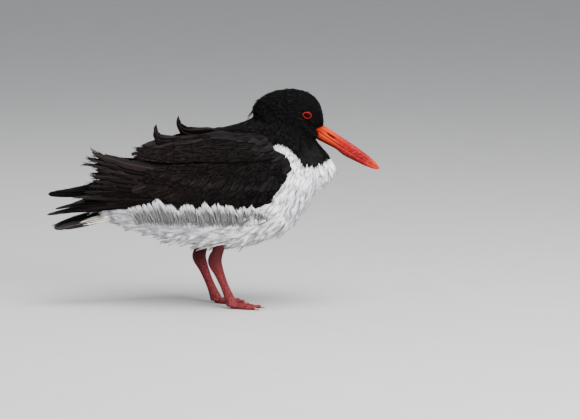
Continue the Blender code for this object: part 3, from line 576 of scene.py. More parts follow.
def black_vane(name):
    """Black flight and contour feathers: paler at the shaft, browner with age and along worn edges."""
    made = Finish(name, Specular_IOR_Level=0.06)
    edge, down = made.vane()
    tone, age = made.attribute("tone"), made.attribute("age")
    worn = made.step(edge, 0.55, 1.0) * 0.5 + made.step(down, 0.75, 1.0) * 0.5
    brown = (0.06 + age) * (0.25 + 0.75 * tone)
    body = made.mix(brown, (0.0008, 0.0007, 0.0009), (0.0078, 0.0042, 0.0042))
    fringe = made.mix(brown, (0.0014, 0.0012, 0.0013), (0.0165, 0.0105, 0.01))
    colour = made.mix(worn * (0.25 + 0.75 * tone), body, fringe)
    shaft = made.step(edge, 0.085, 0.03)
    colour = made.mix(shaft * (0.25 + 0.5 * age), colour, (0.035, 0.025, 0.022))
    ripple = made.noise(0.16, 2.0)
    height = barb_ripples(made, edge, down) * 0.3 + ripple * 2.0 + shaft * 2.0
    return made.use(Base_Color=colour, Roughness=0.36 + 0.22 * tone + 0.12 * ripple,
                    Normal=made.bump(height, 0.35, 0.0004))


def white_down():
    """Soft white feathers, darker at their roots as painted shade deep in the coat, darkened by painted shade
    in the hollow of the flank under the wing, and stained low down.

    A tone below zero stands for that painted shade in the hollow, and age for the stain.
    """
    made = Finish("white_down", Specular_IOR_Level=0.2, Subsurface_Weight=0.2,
                  Subsurface_Radius=(1.0, 1.0, 1.0), Subsurface_Scale=0.002)
    _, down = made.vane()
    tone, age = made.attribute("tone"), made.attribute("age")
    # lit: the roots are darker than the tips, which is painted shade deep in the coat, with a little random
    # tone.
    lit = made.step(down, 0.0, 0.6) * (0.85 + 0.15 * tone)
    colour = made.mix(lit, (0.86, 0.86, 0.9), (0.95, 0.95, 0.985))
    # Painted shade: locks in the hollow under the wing carry a tone below zero and are darkened, their tips
    # less so.
    painted_shade = made.step(0.0 - tone, 0.0, 1.5) * (1.0 - 0.5 * made.step(down, 0.55, 1.0))
    colour = made.mix(painted_shade, colour, (0.15, 0.15, 0.146))
    stain = age * made.step(made.noise(0.09, 2.0), 0.42, 0.68) * made.step(down, 0.3, 1.0)
    colour = made.mix(stain * 0.85, colour, (0.42, 0.32, 0.2))
    return made.use(Base_Color=colour, Roughness=0.75 + 0.1 * tone)


def skin_finish():
    """Bare skin and down under the coat, with the coat's own markings."""
    made = Finish("skin_under_coat", Specular_IOR_Level=0.05)
    patch = made.noise(0.35, 4.0)
    white = made.mix(patch, (0.5, 0.49, 0.5), (0.72, 0.71, 0.72))
    black = made.mix(patch, (0.0015, 0.0014, 0.0015), (0.005, 0.004, 0.004))
    return made.use(Base_Color=made.mix(made.attribute("black"), white, black), Roughness=0.8 + 0.1 * patch,
                    Normal=made.bump(patch, 0.5, 0.0006))


def skin_points(count_u, count_v):
    """The fan drawn in by the coat's depth, and closed round at the rump."""
    u = np.linspace(TORSO_START, HEAD_END - 0.15, count_u)[:, None]
    v = (2 * math.pi * np.arange(count_v) / count_v)[None]
    v = np.where(v > math.pi, v - 2 * math.pi, v)
    u, v = np.broadcast_arrays(u, v)
    point, normal = body_frames(u, v)[:2]
    return point - normal * (coat_depth(u, v) + SKIN_HOLLOW * in_hollow(point))[..., None]


def full_turn(count):
    """Angles evenly round a full turn."""
    return np.linspace(0, 2 * math.pi, count + 1)[:-1]


def loft_mesh(name, rings):
    count, ring = rings.shape[:2]
    return mesh_of(name, rings.reshape(-1, 3), sweep_faces(count, ring))


def joined(name, meshes, voxel):
    """One closed surface round several closed meshes."""
    bm = bmesh.new()
    for mesh in meshes:
        bm.from_mesh(mesh)
    bmesh.ops.recalc_face_normals(bm, faces=bm.faces)
    mesh = bpy.data.meshes.new(name)
    bm.to_mesh(mesh)
    bm.free()
    obj = bpy.data.objects.new(name, mesh)
    bpy.context.scene.collection.objects.link(obj)
    modifier = obj.modifiers.new("one_surface", "REMESH")
    modifier.mode = "VOXEL"
    modifier.voxel_size = voxel * MM
    relax = obj.modifiers.new("relaxed", "SMOOTH")
    relax.iterations = 4
    relax.factor = 0.5
    graph = bpy.context.evaluated_depsgraph_get()
    made = bpy.data.meshes.new_from_object(obj.evaluated_get(graph))
    bpy.data.objects.remove(obj)
    made.name = name
    made.shade_smooth()
    return made


class Flank:
    """The surface that a folded wing lies on: the body's side, and behind it the wing's own bulk."""

    # A grid of distances from the middle plane: its spacing, its lowest corner and its size.
    STEP = 1.5
    LOW = (-176.0, 78.0)
    SIZE = (184, 76)
    NOTHING = -50.0

    def __init__(self):
        u = np.linspace(TORSO_START, HEAD_END, 150)[:, None]
        v = np.linspace(0.0, math.pi, 90)[None]
        grid = body_points(u, v)
        rows, columns = grid.shape[:2]
        quads = [(i * columns + k, i * columns + k + 1, (i + 1) * columns + k + 1, (i + 1) * columns + k)
                 for i in range(rows - 1) for k in range(columns - 1)]
        tree = BVHTree.FromPolygons(grid.reshape(-1, 3).tolist(), quads)
        self.grid = np.empty(self.SIZE)
        for i in range(self.SIZE[0]):
            x = self.LOW[0] + i * self.STEP
            shell = along_shell(x)
            for k in range(self.SIZE[1]):
                z = self.LOW[1] + k * self.STEP
                hit = tree.ray_cast(Vector((x, 200.0, z)), Vector((0, -1, 0)))[0]
                self.grid[i, k] = max(shell_y(shell, z), hit.y + 0.8 if hit else self.NOTHING)
        for _ in range(2):
            padded = np.pad(self.grid, 1, mode="edge")
            self.grid = (padded[1:-1, 1:-1] * 4 + padded[:-2, 1:-1] + padded[2:, 1:-1]
                         + padded[1:-1, :-2] + padded[1:-1, 2:]) / 8

    def frame(self, x, z, side):
        """The point of the surface beside (x, z), and the way out of it, on one side of the bird."""
        spot = [(np.asarray(value, float) - low) / self.STEP for value, low in zip((x, z), self.LOW)]
        cell = [np.clip(value.astype(int), 0, size - 2) for value, size in zip(spot, self.SIZE)]
        i, k = cell
        f, g = (np.clip(value - whole, 0, 1) for value, whole in zip(spot, cell))
        a, b, c, d = self.grid[i, k], self.grid[i + 1, k], self.grid[i, k + 1], self.grid[i + 1, k + 1]
        y = (a * (1 - f) + b * f) * (1 - g) + (c * (1 - f) + d * f) * g
        slope_x = ((b - a) * (1 - g) + (d - c) * g) / self.STEP
        slope_z = ((c - a) * (1 - f) + (d - b) * f) / self.STEP
        out = unit(np.stack([-slope_x, np.ones_like(y), -slope_z], axis=-1)) * (1, side, 1)
        return np.stack([np.broadcast_to(x, y.shape), side * y, np.broadcast_to(z, y.shape)], axis=-1), out


def along_shell(x):
    rows = np.array(WING_SHELL)
    return rows_at(rows[:, 1:], np.interp(x, rows[:, 0], np.arange(len(rows))))


def shell_y(shell, z):
    """The wing's distance from the middle plane, on a parabola through its top, middle and bottom."""
    z0, y0, z1, y1, z2, y2 = shell
    z = min(max(z, z2 - 4), z0 + 6)
    a = y0 * (z - z1) * (z - z2) / ((z0 - z1) * (z0 - z2))
    b = y1 * (z - z0) * (z - z2) / ((z1 - z0) * (z1 - z2))
    c = y2 * (z - z0) * (z - z1) / ((z2 - z0) * (z2 - z1))
    return a + b + c


def clear_of_middle(points, side):
    """Bends points away from the middle plane so that the two wings never meet."""
    knee = LEAST_FROM_MIDDLE + BEND
    y = points[..., 1] * side
    bent = LEAST_FROM_MIDDLE + BEND * np.exp(np.minimum(y - knee, 0.0) / BEND)
    points[..., 1] = side * np.where(y > knee, y, bent)
    return points


def wing_pad(flank, side):
    """The flesh of the folded wing."""
    stations, across = 45, 15
    edge = rows_at(WING_EDGE, np.linspace(0, len(WING_EDGE) - 1, stations))
    t = np.linspace(0.0, 1.0, across)[None]
    x = np.broadcast_to(edge[:, :1], (stations, across))
    z = edge[:, 1:2] + (edge[:, 2:3] - edge[:, 1:2]) * (0.06 + 0.88 * t)
    surface, out = flank.frame(x, z, side)
    outer = surface + out * (1.6 * np.sin(math.pi * (0.08 + 0.84 * t)) ** 0.6)[..., None]
    inner = surface - out * 6.0
    rings = np.concatenate([outer, inner[:, ::-1]], axis=1)
    return loft_mesh(f"wing_flesh_{side}", rings)


# The flesh of the tail: forward, height, half depth, half width.
TAIL_ROOT = ((-96.0, 100.0, 8.0, 9.0), (-104.0, 97.5, 6.5, 10.0), (-111.0, 95.0, 2.8, 9.0),
             (-116.0, 93.5, 1.0, 7.0))


def tail_flesh():
    x, z, depth, width = rows_at(TAIL_ROOT, np.linspace(0, len(TAIL_ROOT) - 1, 16)).T
    angle = full_turn(32)[None]
    rings = np.stack([x[:, None] + 0 * angle, width[:, None] * np.sin(angle),
                      z[:, None] + depth[:, None] * np.cos(angle)], axis=-1)
    return loft_mesh("tail_flesh", rings)


def make_skin(flank):
    """One skin for head, neck, body, wings and tail root, marked as the coat is."""
    meshes = [loft_mesh("body_flesh", skin_points(170, 96)), tail_flesh()]
    meshes += [wing_pad(flank, side) for side in (-1, 1)]
    mesh = joined("skin", meshes, 1.4)
    points = np.empty(len(mesh.vertices) * 3, np.float32)
    mesh.vertices.foreach_get("co", points)
    points = sunk_under_bill(taper_face(sunk_round_eye(points.reshape(-1, 3) / MM)))
    mesh.vertices.foreach_set("co", (points * MM).astype(np.float32).reshape(-1))
    x, y, z = points.T
    on_wing = (z > wing_edges(x)[1] + 3) & (x < 79.5) & (x > -104)
    dark = on_wing & (np.abs(y) > flank.frame(x, z, 1)[0][:, 1] - 2.0)
    add_values(mesh, black=np.where(dark, 1.0, smooth(blackness(points) / 3.0 + 0.5)))
    skin = piece("skin", mesh, skin_finish())
    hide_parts("head", "neck", "torso", "mantle")


EYE_SOCKET = 3.0


def sunk_round_eye(points):
    """The points, with those round the eyes let in so that the eyeballs stand free."""
    reach = eye_reach(points)
    near_eye = (reach < 1.1) & (points[:, 0] > 80) & (points[:, 2] > 185)
    wall = float(surface_y(*EYE_CENTRE)) - EYE_SOCKET
    sunk = np.minimum(np.abs(points[:, 1]), wall + EYE_SOCKET * smooth((reach - 0.85) / 0.25))
    points[near_eye, 1] = (np.sign(points[:, 1]) * sunk)[near_eye]
    return points


def sunk_under_bill(points):
    """The points, with those on the bare bill drawn in under its horn."""
    bare = in_bill(points, 0.3)
    a, d, y = bill_place(points)
    top, bottom = along(CULMEN, a), along(BILL_UNDERSIDE, a)
    height = (d - (top + bottom) / 2) / ((top - bottom) / 2)
    inside = along(BILL_HALF_WIDTH, a) * np.sqrt(np.clip(1 - height**2, 0.02, 1)) - 0.9
    points[bare, 1] = (np.sign(y) * np.minimum(np.abs(y), np.maximum(inside, 0.1)))[bare]
    return points


def eye_reach(points):
    """How far a point lies from the eye, in widths of the bare ring round it."""
    tilt = math.radians(EYE_TILT)
    dx, dz = points[..., 0] - EYE_CENTRE[0], points[..., 2] - EYE_CENTRE[1]
    length = dx * math.cos(tilt) + dz * math.sin(tilt)
    height = -dx * math.sin(tilt) + dz * math.cos(tilt)
    return np.hypot(length / (RING_LENGTH / 2 + 1.0), height / (RING_HEIGHT / 2 + 1.0))


def bill_place(points):
    """Along the bill, up across it, and sideways, for points of the head."""
    slope = math.radians(BILL_SLOPE)
    dx, dz = points[..., 0] - BILL_ROOT[0], points[..., 2] - BILL_ROOT[1]
    a = dx * math.cos(slope) - dz * math.sin(slope)
    d = dx * math.sin(slope) + dz * math.cos(slope)
    return a, d, points[..., 1]


# How fast the face widens behind the bill.
FACE_SLOPE = 1.15


def taper_face(points):
    """The points, with the sides of the face drawn in towards the root of the bill."""
    a, d, y = bill_place(points)
    behind = np.maximum(straight_along(FEATHER_LINE, d) - a, 0.0)
    above = np.maximum(d - along(CULMEN, a), 0.0)
    below = np.maximum(along(BILL_UNDERSIDE, a) - d, 0.0)
    limit = along(BILL_HALF_WIDTH, a) + 0.3 + FACE_SLOPE * np.sqrt(behind**2 + above**2 + below**2)
    drawn = np.maximum(np.abs(y), 1e-6) * (1 + (np.abs(y) / limit) ** 8) ** -0.125
    tapered = points.copy()
    tapered[..., 1] = np.where(points[..., 0] > 85.0, np.sign(y) * drawn, y)
    return tapered


def in_bill(points, room):
    """Whether points lie on the bare bill, or within some room of it."""
    a, d, y = bill_place(points)
    bare = a > straight_along(FEATHER_LINE, d) - room
    return (bare & (d < along(CULMEN, a) + room) & (d > along(BILL_UNDERSIDE, a) - room)
            & (np.abs(y) < along(BILL_HALF_WIDTH, a) + room + 3.0))


# Length of the locks of the underside and of the back, and their breadth, along the fan.
UNDER_LENGTHS = ((2, 17), (5, 22), (9, 24), (13, 20), (15, 11), (17, 7), (20, 5.4), (23, 4.0), (26, 2.6))
BACK_LENGTHS = ((2, 22), (9, 17), (13, 12), (15, 9), (17, 7), (20, 5.4), (23, 4.0), (26, 2.6))
LOCK_BREADTHS = ((2, 1.5), (9, 1.4), (13, 1.3), (16, 1.0), (19, 0.9), (23, 0.8), (26, 0.6))
# Stretches of the coat: name, start and end along the fan, start and end round it in degrees from
# the back, spacing in lock widths, locks in a tuft and how far a tuft's tips are drawn together.
COAT_STRETCHES = (
    ("crown_coat", 20.5, HEAD_END, -180, 180, 0.9, 12, 0.4),
    ("head_coat", 16.5, 20.5, -180, 180, 0.9, 12, 0.45),
    ("neck_coat", 13.8, 16.5, -180, 180, 0.95, 12, 0.4),
    ("mantle_coat", 3.0, 13.8, -80, 80, 0.95, 12, 0.35),
    ("breast_coat", 11.6, 13.8, 80, 280, 0.85, 26, 0.8),
    ("belly_coat", 7.6, 11.6, 80, 280, 0.85, 26, 0.8),
    ("vent_coat", TORSO_START, 7.6, 80, 280, 0.85, 26, 0.8),
)
# Where the coat changes along the fan: the middle and the reach of each place.
NAPE = (18.0, 1.9)
NECK = (15.4, 1.7)
BREAST = (13.2, 1.7)
LOW_BELLY = (8.0, 3.5)
# How far the feathers at the side of the neck turn down from the lie of the rest.
NECK_SWEEP = 0.75


def near(u, place):
    """From 0 to 1: how near slices of the fan are to one of its places."""
    middle, reach = place
    return np.exp(-((u - middle) / reach) ** 2)


def under_wing(points):
    """Where the folded wing hides the body: below its top edge, and at the bend of the wing."""
    x, z = points[..., 0], points[..., 2]
    top, bottom = wing_edges(x)
    behind = (x > -92) & (x < 66) & (z < top - 7) & (z > bottom + 9)
    bend = (x > 55) & (x < 72.5) & (z > 131) & (z < 160) & (z > bottom + 5)
    return behind | bend


# The hollow of the flank between the wing and the fold of the belly feathers: forward, height of the
# fold, and then how deep the coat and the skin sink there.
BELLY_FOLD = ((-100, 100), (-73.5, 101), (-28.5, 93), (-3.5, 90), (26.5, 93), (48.5, 101), (60, 110))
FLANK_HOLLOW = 6.0
SKIN_HOLLOW = 3.2


def in_hollow(points):
    """From 0 to 1: how deep in the hollow under the wing a point of the flank lies."""
    x, z = points[..., 0], points[..., 2]
    above = z - straight_along(BELLY_FOLD, x)
    return smooth(above / 4.0) * smooth((118 - z) / 6.0) * smooth((x + 100) / 15.0) * smooth((58 - x) / 10.0)


def coat_stand(u, belly, nape, low, breast, hollow, shared):
    """How far tips stand over the outline. At the nape single feathers rise out of a low coat."""
    soft = softness(u, belly)
    stand = 0.2 + 0.4 * soft - 1.6 * nape - 1.0 * low + 1.0 * breast
    stand = np.maximum(stand * (1 + 0.45 * shared), -1.8) - FLANK_HOLLOW * hollow
    single = np.random.default_rng(SEED + 7).random(len(u))
    return stand + nape * (np.clip(shared, 0, 1.5) + 4.2 * single**3)


def softness(u, belly):
    """From 0 to 1: how loose the coat is, which it is behind the throat and underneath."""
    return smooth((14.5 - u) / 2.0) * smooth((belly - 0.3) / 0.2)


def clear_of_face(root, tip):
    """Whether locks leave the eye and the bill bare."""
    off_eye = (eye_reach(root) > 1.0) & (eye_reach(tip) > 0.95) | (root[:, 0] < 80)
    return off_eye & ~in_bill(tip, 0.2) & ~in_bill(root, 0.0)


def make_locks(black, white):
    """The soft coat of head, neck, back, breast, belly and vent.

    The locks of one tuft share three random numbers: how far they stand, how long they are and how
    they turn.
    """
    draw = np.random.default_rng(SEED)
    thin = 1.0
    for name, start, end, first, last, apart, tuft, strength in COAT_STRETCHES:
        u, v = spread(lambda u, v: apart * along(LOCK_BREADTHS, u) * thin, start, end,
                      (math.radians(first), math.radians(last)))
        u, v = (values[~under_wing(body_points(u, v))] for values in (u, v))
        chosen, number = nearest(body_points(u, v), tuft)
        shared = draw.normal(0.0, 1.0, (number.max() + 1, 3))[number]
        belly = (1 - np.cos(v)) / 2
        nape = near(u, NAPE) * (1 - smooth(belly / 0.3))
        low = near(u, LOW_BELLY) * smooth((belly - 0.7) / 0.2)
        breast = near(u, BREAST) * smooth((belly - 0.72) / 0.2)
        hollow = in_hollow(body_points(u, v))
        stand = coat_stand(u, belly, nape, low, breast, hollow, shared[:, 0])
        length = along(BACK_LENGTHS, u) * (1 - belly) + along(UNDER_LENGTHS, u) * belly
        length = length * draw.uniform(0.75, 1.2, len(u)) * (1 + 0.1 * shared[:, 1])
        by_edge = smooth(1 - np.abs(blackness(body_points(u, v)) - 3.0) / 14.0)
        length = length * (1 - 0.5 * by_edge)
        length = length * (1 + 0.3 * low + 0.15 * breast + 0.3 * nape)
        drift = (0.05 + 0.08 * softness(u, belly)) * shared[:, 2] + draw.normal(0.0, 0.05, len(u))
        drift = drift + NECK_SWEEP * near(u, NECK) * np.sin(v)
        width = along(LOCK_BREADTHS, u) * draw.uniform(0.75, 1.25, len(u)) * (1 - 0.25 * by_edge)
        locks = body_locks(u, v, length, width, stand, drift, draw)
        locks.path = taper_face(locks.path)
        # Painted shade: locks in the hollow under the wing get a tone below zero, which their finish paints
        # darker.
        locks.tone = locks.tone - 2.0 * hollow
        off_edge = smooth((np.abs(blackness(locks.path[:, 2])) - 2.0) / 9.0)
        locks.gather(chosen, strength * (0.35 + 0.65 * off_edge))
        clear = clear_of_face(locks.path[:, 0], locks.path[:, 3])
        locks = locks.part(clear)
        bib = smooth((16.9 - u[clear]) / 1.2)
        tip = locks.path[:, 3]
        middle = locks.path[:, 1:].mean(axis=1)
        dark = blackness(middle) + 0.3 * draw.normal(0.0, 1.0, len(tip)) > 0
        # Age of the black locks: wear towards the rear and on the bib; on the back it also lightens the tips
        # as a painted sheen.
        back = smooth((70.0 - tip[:, 0]) / 60.0)
        age = np.where(dark, np.maximum(back, bib), smooth((86.0 - tip[:, 2]) / 22.0))
        for label, wanted, material in (("black", dark, black), ("white", ~dark, white)):
            if wanted.any():
                coat = Coat()
                locks.part(wanted).fill(coat, age[wanted])
                coat.build(f"{name}_{label}", material, f"{label}_plumage")


# The upper edge of the white feathers that rise over each wing's lower edge: forward, height. The
# wing's dark tips show in its notches.
FLANK_EDGE = (
    (-84, 104), (-76, 107), (-63, 109.5), (-53.5, 115), (-46, 109.5), (-40, 110.5), (-34.5, 104),
    (-31, 108), (-25, 111.5), (-17.5, 109), (-15, 104.5), (-12, 109), (-7, 114), (-2.5, 108), (4.5, 113),
    (9, 109.5), (14, 111), (20, 109.5), (24, 104.5), (27.5, 109), (30, 110.5), (34, 107), (37.5, 111.5),
    (42, 106), (46, 107.5), (52, 101),
)
FLANK_ROOTS = 94.0
FLANK_LOCKS = 1300
# How deep the painted shade lies on the flank's white feathers under the wing, as a tone below zero: see the
# finish of the white down.
FLANK_SHADE = 1.8


def make_flank_tufts(flank, white):
    """White feathers of the flank, risen over the lower edge of each wing."""
    draw = np.random.default_rng(SEED + 4)
    coat = Coat()
    count = FLANK_LOCKS
    for side in (-1, 1):
        tip_x = draw.uniform(FLANK_EDGE[0][0], FLANK_EDGE[-1][0], count)
        tip_z = straight_along(FLANK_EDGE, tip_x) - np.abs(draw.normal(0, 2.6, count))
        root_x = tip_x + 3.5 + draw.normal(0, 1.6, count)
        root_z = FLANK_ROOTS + draw.uniform(-9, 3, count)
        share = LOCK_SHARES[None]
        x = root_x[:, None] * (1 - share) + tip_x[:, None] * share
        z = root_z[:, None] * (1 - share) + tip_z[:, None] * share
        surface, out = flank.frame(x, z, side)
        lift = -5.0 * (1 - share) + 4.6 * share**0.7 + draw.uniform(-0.5, 0.5, (count, 1))
        path = surface + out * lift[..., None]
        # Their tones lie below zero, which paints shade on them under the wing.
        locks = Locks(side_chart(root_x, root_z, 60, 160), draw.uniform(0.6, 1.1, count),
                      0.6 * draw.random(count) - FLANK_SHADE, path, out, ways_across(path, out)[0])
        chosen, _ = nearest(path[:, 3], 16)
        locks.gather(chosen, 0.35)
        locks.fill(coat, np.zeros(count))
    coat.build("flank_tufts", white, "white_plumage")


# Tips of the tufts that break the outline from the throat round to the tail: forward, height.
FRINGE = (
    (121.1, 141.6), (123.5, 133.4), (118.5, 128.0), (115.5, 123.2), (110.1, 116.9), (100.1, 110.2),
    (92.0, 103.0), (88.5, 97.2), (87.5, 90.7), (83.5, 82.6), (75.2, 77.0), (67.5, 69.5), (52.5, 67.5),
    (44.0, 62.5), (37.5, 61.5), (22.2, 55.0), (8.0, 57.0), (-6.5, 55.9), (-18.0, 55.9), (-26.0, 56.8),
    (-34.9, 60.5), (-43.9, 61.8), (-54.5, 62.5), (-58.5, 68.0), (-72.0, 71.5), (-88.5, 75.6), (-98.0, 81.5),
    (-106.5, 86.0),
)
# Tips of the spiky feathers of the nape and crown.
NAPE_FRINGE = (
    (88.0, 217.5), (79.0, 219.3), (70.0, 219.0), (62.9, 217.0), (57.5, 213.0), (54.2, 210.0),
    (49.5, 207.0), (46.0, 203.5), (43.0, 198.5), (38.0, 192.0), (33.0, 189.5),
)
TUFT_LOCKS = 44
# Where these tufts stand round the body, to either side of its middle line.
FRINGE_TURNS = (-0.62, -0.36, -0.12, 0.12, 0.36, 0.62)
NAPE_TURNS = (-0.9, -0.6, -0.3, 0.0, 0.3, 0.6, 0.9)


def make_fringe(name, tips, middle, turns, fan_ends, lengths, widths, material, slot):
    """Pointed tufts that stand off the outline at listed tips, and beside them round the body.

    middle is how far round the body the tips lie, and turns are the places to either side of that.
    fan_ends is the stretch of the fan that they belong to.
    """
    draw = np.random.default_rng(SEED + 5)
    coat = Coat()
    fan = np.linspace(*fan_ends, 500)
    keel = body_points(fan, middle)[:, (0, 2)]
    for place in tips:
        apart = np.linalg.norm(keel - place, axis=1)
        found = fan[apart.argmin()]
        stand_off = np.array(place) - keel[apart.argmin()]
        for turn in turns:
            count = TUFT_LOCKS
            tip_u = found + draw.normal(0, 0.12)
            tip_v = middle + turn + draw.normal(0, 0.05)
            point, _, _, _, fast_u, fast_v = body_frames(np.array(tip_u), np.array(tip_v))
            reach = draw.uniform(1.0, 1.35)
            aim = point + np.array((stand_off[0], 0, stand_off[1])) * reach * (1 - 0.4 * abs(turn))
            length = draw.uniform(*lengths) * draw.uniform(0.85, 1.1, count)
            u = np.minimum(tip_u + length / np.maximum(fast_u, 0.5), fan_ends[1] + 1.5)
            v = tip_v + draw.normal(0, lengths[0] * 0.16, count) / np.maximum(fast_v, 2.0)
            width = draw.uniform(*widths, count)
            locks = body_locks(u, v, length, width, np.full(count, 0.5), np.zeros(count), draw)
            spread_out = draw.normal(0, lengths[0] * 0.018, (count, 3)) + (locks.path[:, 3] - aim) * 0.06
            locks.path += (aim + spread_out - locks.path[:, 3])[:, None] * (LOCK_SHARES**1.5)[None, :, None]
            locks.root = unwrap(u, (v + math.pi) % (2 * math.pi) - math.pi)
            dark = blackness(locks.path[:, 1:3]).max(axis=1) > 0
            locks = locks.part(dark == (slot == "black_plumage"))
            if len(locks.width):
                stain = float(smooth((78.0 - place[1]) / 22.0))
                locks.fill(coat, np.full(len(locks.width), stain))
    coat.build(name, material, slot)


def vane_points(path, normal, across, half, shape, notch):
    """Cambered vanes with a raised shaft: (feathers, stations * ring, 3) points.

    shape is (places across the upper face, those of the lower face, camber, shaft, thickness), and
    notch says how far each edge is split back at each station, as a share of its half.
    """
    tops, bottoms, camber, shaft, thick = shape
    places = np.array(tops + bottoms)
    split = np.where(places < 0, notch[..., :1], notch[..., 1:])
    side = places * half[..., None] * (1 - split * np.abs(places) ** 3)
    rise = camber * half[..., None] * (1 - places**2)
    rise = rise + np.where(np.arange(len(places)) < len(tops), shaft * (places == 0.0), -thick)
    ring = path[:, :, None] + across[:, :, None] * side[..., None] + normal[:, :, None] * rise[..., None]
    return ring.reshape(len(path), -1, 3)


def vane_faces(stations, kind):
    """Triangles of one feather."""
    return sweep_faces(stations, len(kind[0]) + len(kind[1]))


def vane_chart(stations, tops, bottoms):
    """The place of each point on its feather: across, and from root to tip."""
    across = (np.array(tops + bottoms) + 1) / 2
    down = np.linspace(0, 1, stations)
    return np.stack(np.broadcast_arrays(across[None], down[:, None]), axis=-1).reshape(-1, 2)


def outline(s, width, opening, closing, point):
    """Half the width of a feather along it: it opens from the quill and closes to a round or sharp tip."""
    open_part = 0.3 + 0.7 * smooth(s / opening)
    close_part = np.clip((s - closing) / (1.0 - closing), 0, 1)
    return width / 2 * open_part * np.maximum(1 - close_part**point, 0.0) ** (1 / point) + 0.12


def splits(draw, feathers, stations, often, deep, ragged):
    """Where the barbs of each edge have parted, more and deeper towards a ragged tip."""
    s = np.linspace(0, 1, stations)[None, :, None]
    size = (feathers, stations, 2)
    parted = draw.random(size) < often * (0.5 + ragged * s**3)
    return np.clip(parted * draw.uniform(0.3, 1.0, size) * deep * (0.6 + ragged * s**2), 0, 0.85)


# Places across the upper face of a vane and across its lower face, from edge to edge.
FINE = ((-1.0, -0.66, -0.3, -0.07, 0.0, 0.07, 0.3, 0.66, 1.0), (0.6, 0.0, -0.6))
PLAIN = ((-1.0, -0.5, 0.0, 0.5, 1.0), (0.0,))

# Tiers of the folded wing, from the deepest to the topmost: name, width, height of root and tip over
# the flank, where a feather opens and closes, how sharp, raggedness, bow, then the line of roots and
# the tip of each feather.
WING_TIERS = (
    ("primary", 10.0, (-1.5, 0.6), (0.1, 0.6, 1.8), 0.0, 3.5,
     ((-50, 121), (-60, 107.5)),
     ((-112, 113), (-130, 108.5), (-144, 103), (-158.5, 98.6), (-128, 100), (-161, 93.7), (-166, 92.6))),
    ("secondary", 15.0, (0.4, 1.4), (0.12, 0.7, 1.8), 0.7, 1.0,
     ((47, 121), (24, 123), (-48, 122)),
     ((44, 106), (34.5, 103.5), (22, 105.5), (4, 109), (-14, 105.5), (-34, 105.5), (-50, 109), (-66, 110),
      (-82, 110.5), (-97, 111))),
    ("tertial", 13.0, (0.8, 2.0), (0.12, 0.5, 1.4), 1.4, 0.6,
     ((-38, 119), (-34, 129), (-34, 138)),
     ((-138.5, 110.3), (-127, 116), (-125.3, 121.5), (-120, 126), (-122.6, 131.5), (-117, 136), (-130.6, 143),
      (-125.3, 148), (-122.2, 155))),
    ("greater_covert", 13.0, (1.2, 2.4), (0.15, 0.75, 2.1), 0.8, 0.8,
     ((56, 129), (20, 132), (-30, 134)),
     ((52, 110), (40, 109), (27, 108.5), (14, 109), (0, 109.5), (-14, 110), (-29, 111), (-45, 113),
      (-62, 116), (-80, 119))),
    ("median_covert", 12.0, (1.7, 2.8), (0.15, 0.75, 2.0), 0.6, 0.8,
     ((62, 138), (24, 143), (-22, 144)),
     ((58, 122), (46, 122), (32, 122.5), (17, 123), (2, 124), (-14, 126), (-31, 129), (-50, 133))),
)
SCAPULAR_TIERS = (
    ("lower_scapular", 11.0, (2.6, 4.2), (0.15, 0.5, 1.6), 0.8, 0.8,
     ((62, 157), (20, 159), (-30, 154)),
     ((42, 151.5), (26, 151), (9, 150), (-8, 150), (-23, 149), (-38, 148), (-52, 147.5), (-66, 148),
      (-78, 150))),
    ("middle_scapular", 11.0, (2.8, 4.4), (0.15, 0.5, 1.6), 0.8, 0.8,
     ((62, 161), (24, 164), (-24, 159)),
     ((44, 155.5), (26, 155.5), (9, 155.5), (-8, 155), (-25, 154), (-42, 153), (-58, 152), (-70, 152),
      (-80, 153))),
    ("upper_scapular", 11.0, (3.0, 4.8), (0.15, 0.5, 1.6), 0.8, 0.8,
     ((60, 165), (24, 169), (-18, 165)),
     ((44, 160), (26, 161), (8, 161), (-10, 160.5), (-28, 159), (-46, 157), (-62, 155), (-73.5, 156))),
    ("top_scapular", 11.0, (3.0, 5.4), (0.15, 0.5, 1.6), 0.8, 1.2,
     ((54, 170), (24, 173), (-14, 169)),
     ((42, 165), (24, 167), (6, 167.5), (-12, 166), (-30, 163.5), (-46, 160.5), (-60, 158), (-69.7, 160.5))),
)
# The left wing's primaries lie higher, and each is broad for longer: where they close, how sharply.
FAR_PRIMARY_TIPS = ((-112, 118), (-128, 118), (-138, 116.5), (-147, 115), (-155, 113.5), (-161, 112.8),
                    (-165.5, 112))
FAR_PRIMARY_CLOSING = (0.8, 2.4)
# The number of the primary that has worn to brown.
WORN_PRIMARY = 4
# How brown the wing's feathers have worn, from 0 to 1, at places along it.
AGE_LINE = ((-120, 0.9), (-40, 0.7), (20, 0.25), (60, 0.1))
# How much lower the rear of the shoulder feathers lies on each side.
SCAPULAR_DROP = {-1: 1.5, 1: 7.0}
# Places along a quill at which its path is worked out, and stations that it is drawn with.
CONTROLS = 9
STATIONS = 30
# Tertial tips higher than this have been turned up by the wind.
TURNS_UP_OVER = 138.0


def dropped(table, side):
    """The places of a table of shoulder feathers, let down towards the rear."""
    return [(x, z - SCAPULAR_DROP[side] * float(smooth((-15.0 - x) / 40.0))) for x, z in table]


def resampled(rows, stations):
    """Feathers' paths, (feathers, places, 3), drawn again with more stations."""
    feathers, places = rows.shape[:2]
    flat = rows.transpose(1, 0, 2).reshape(places, -1)
    drawn = rows_at(flat, np.linspace(0, places - 1, stations))
    return drawn.reshape(stations, feathers, 3).transpose(1, 0, 2)


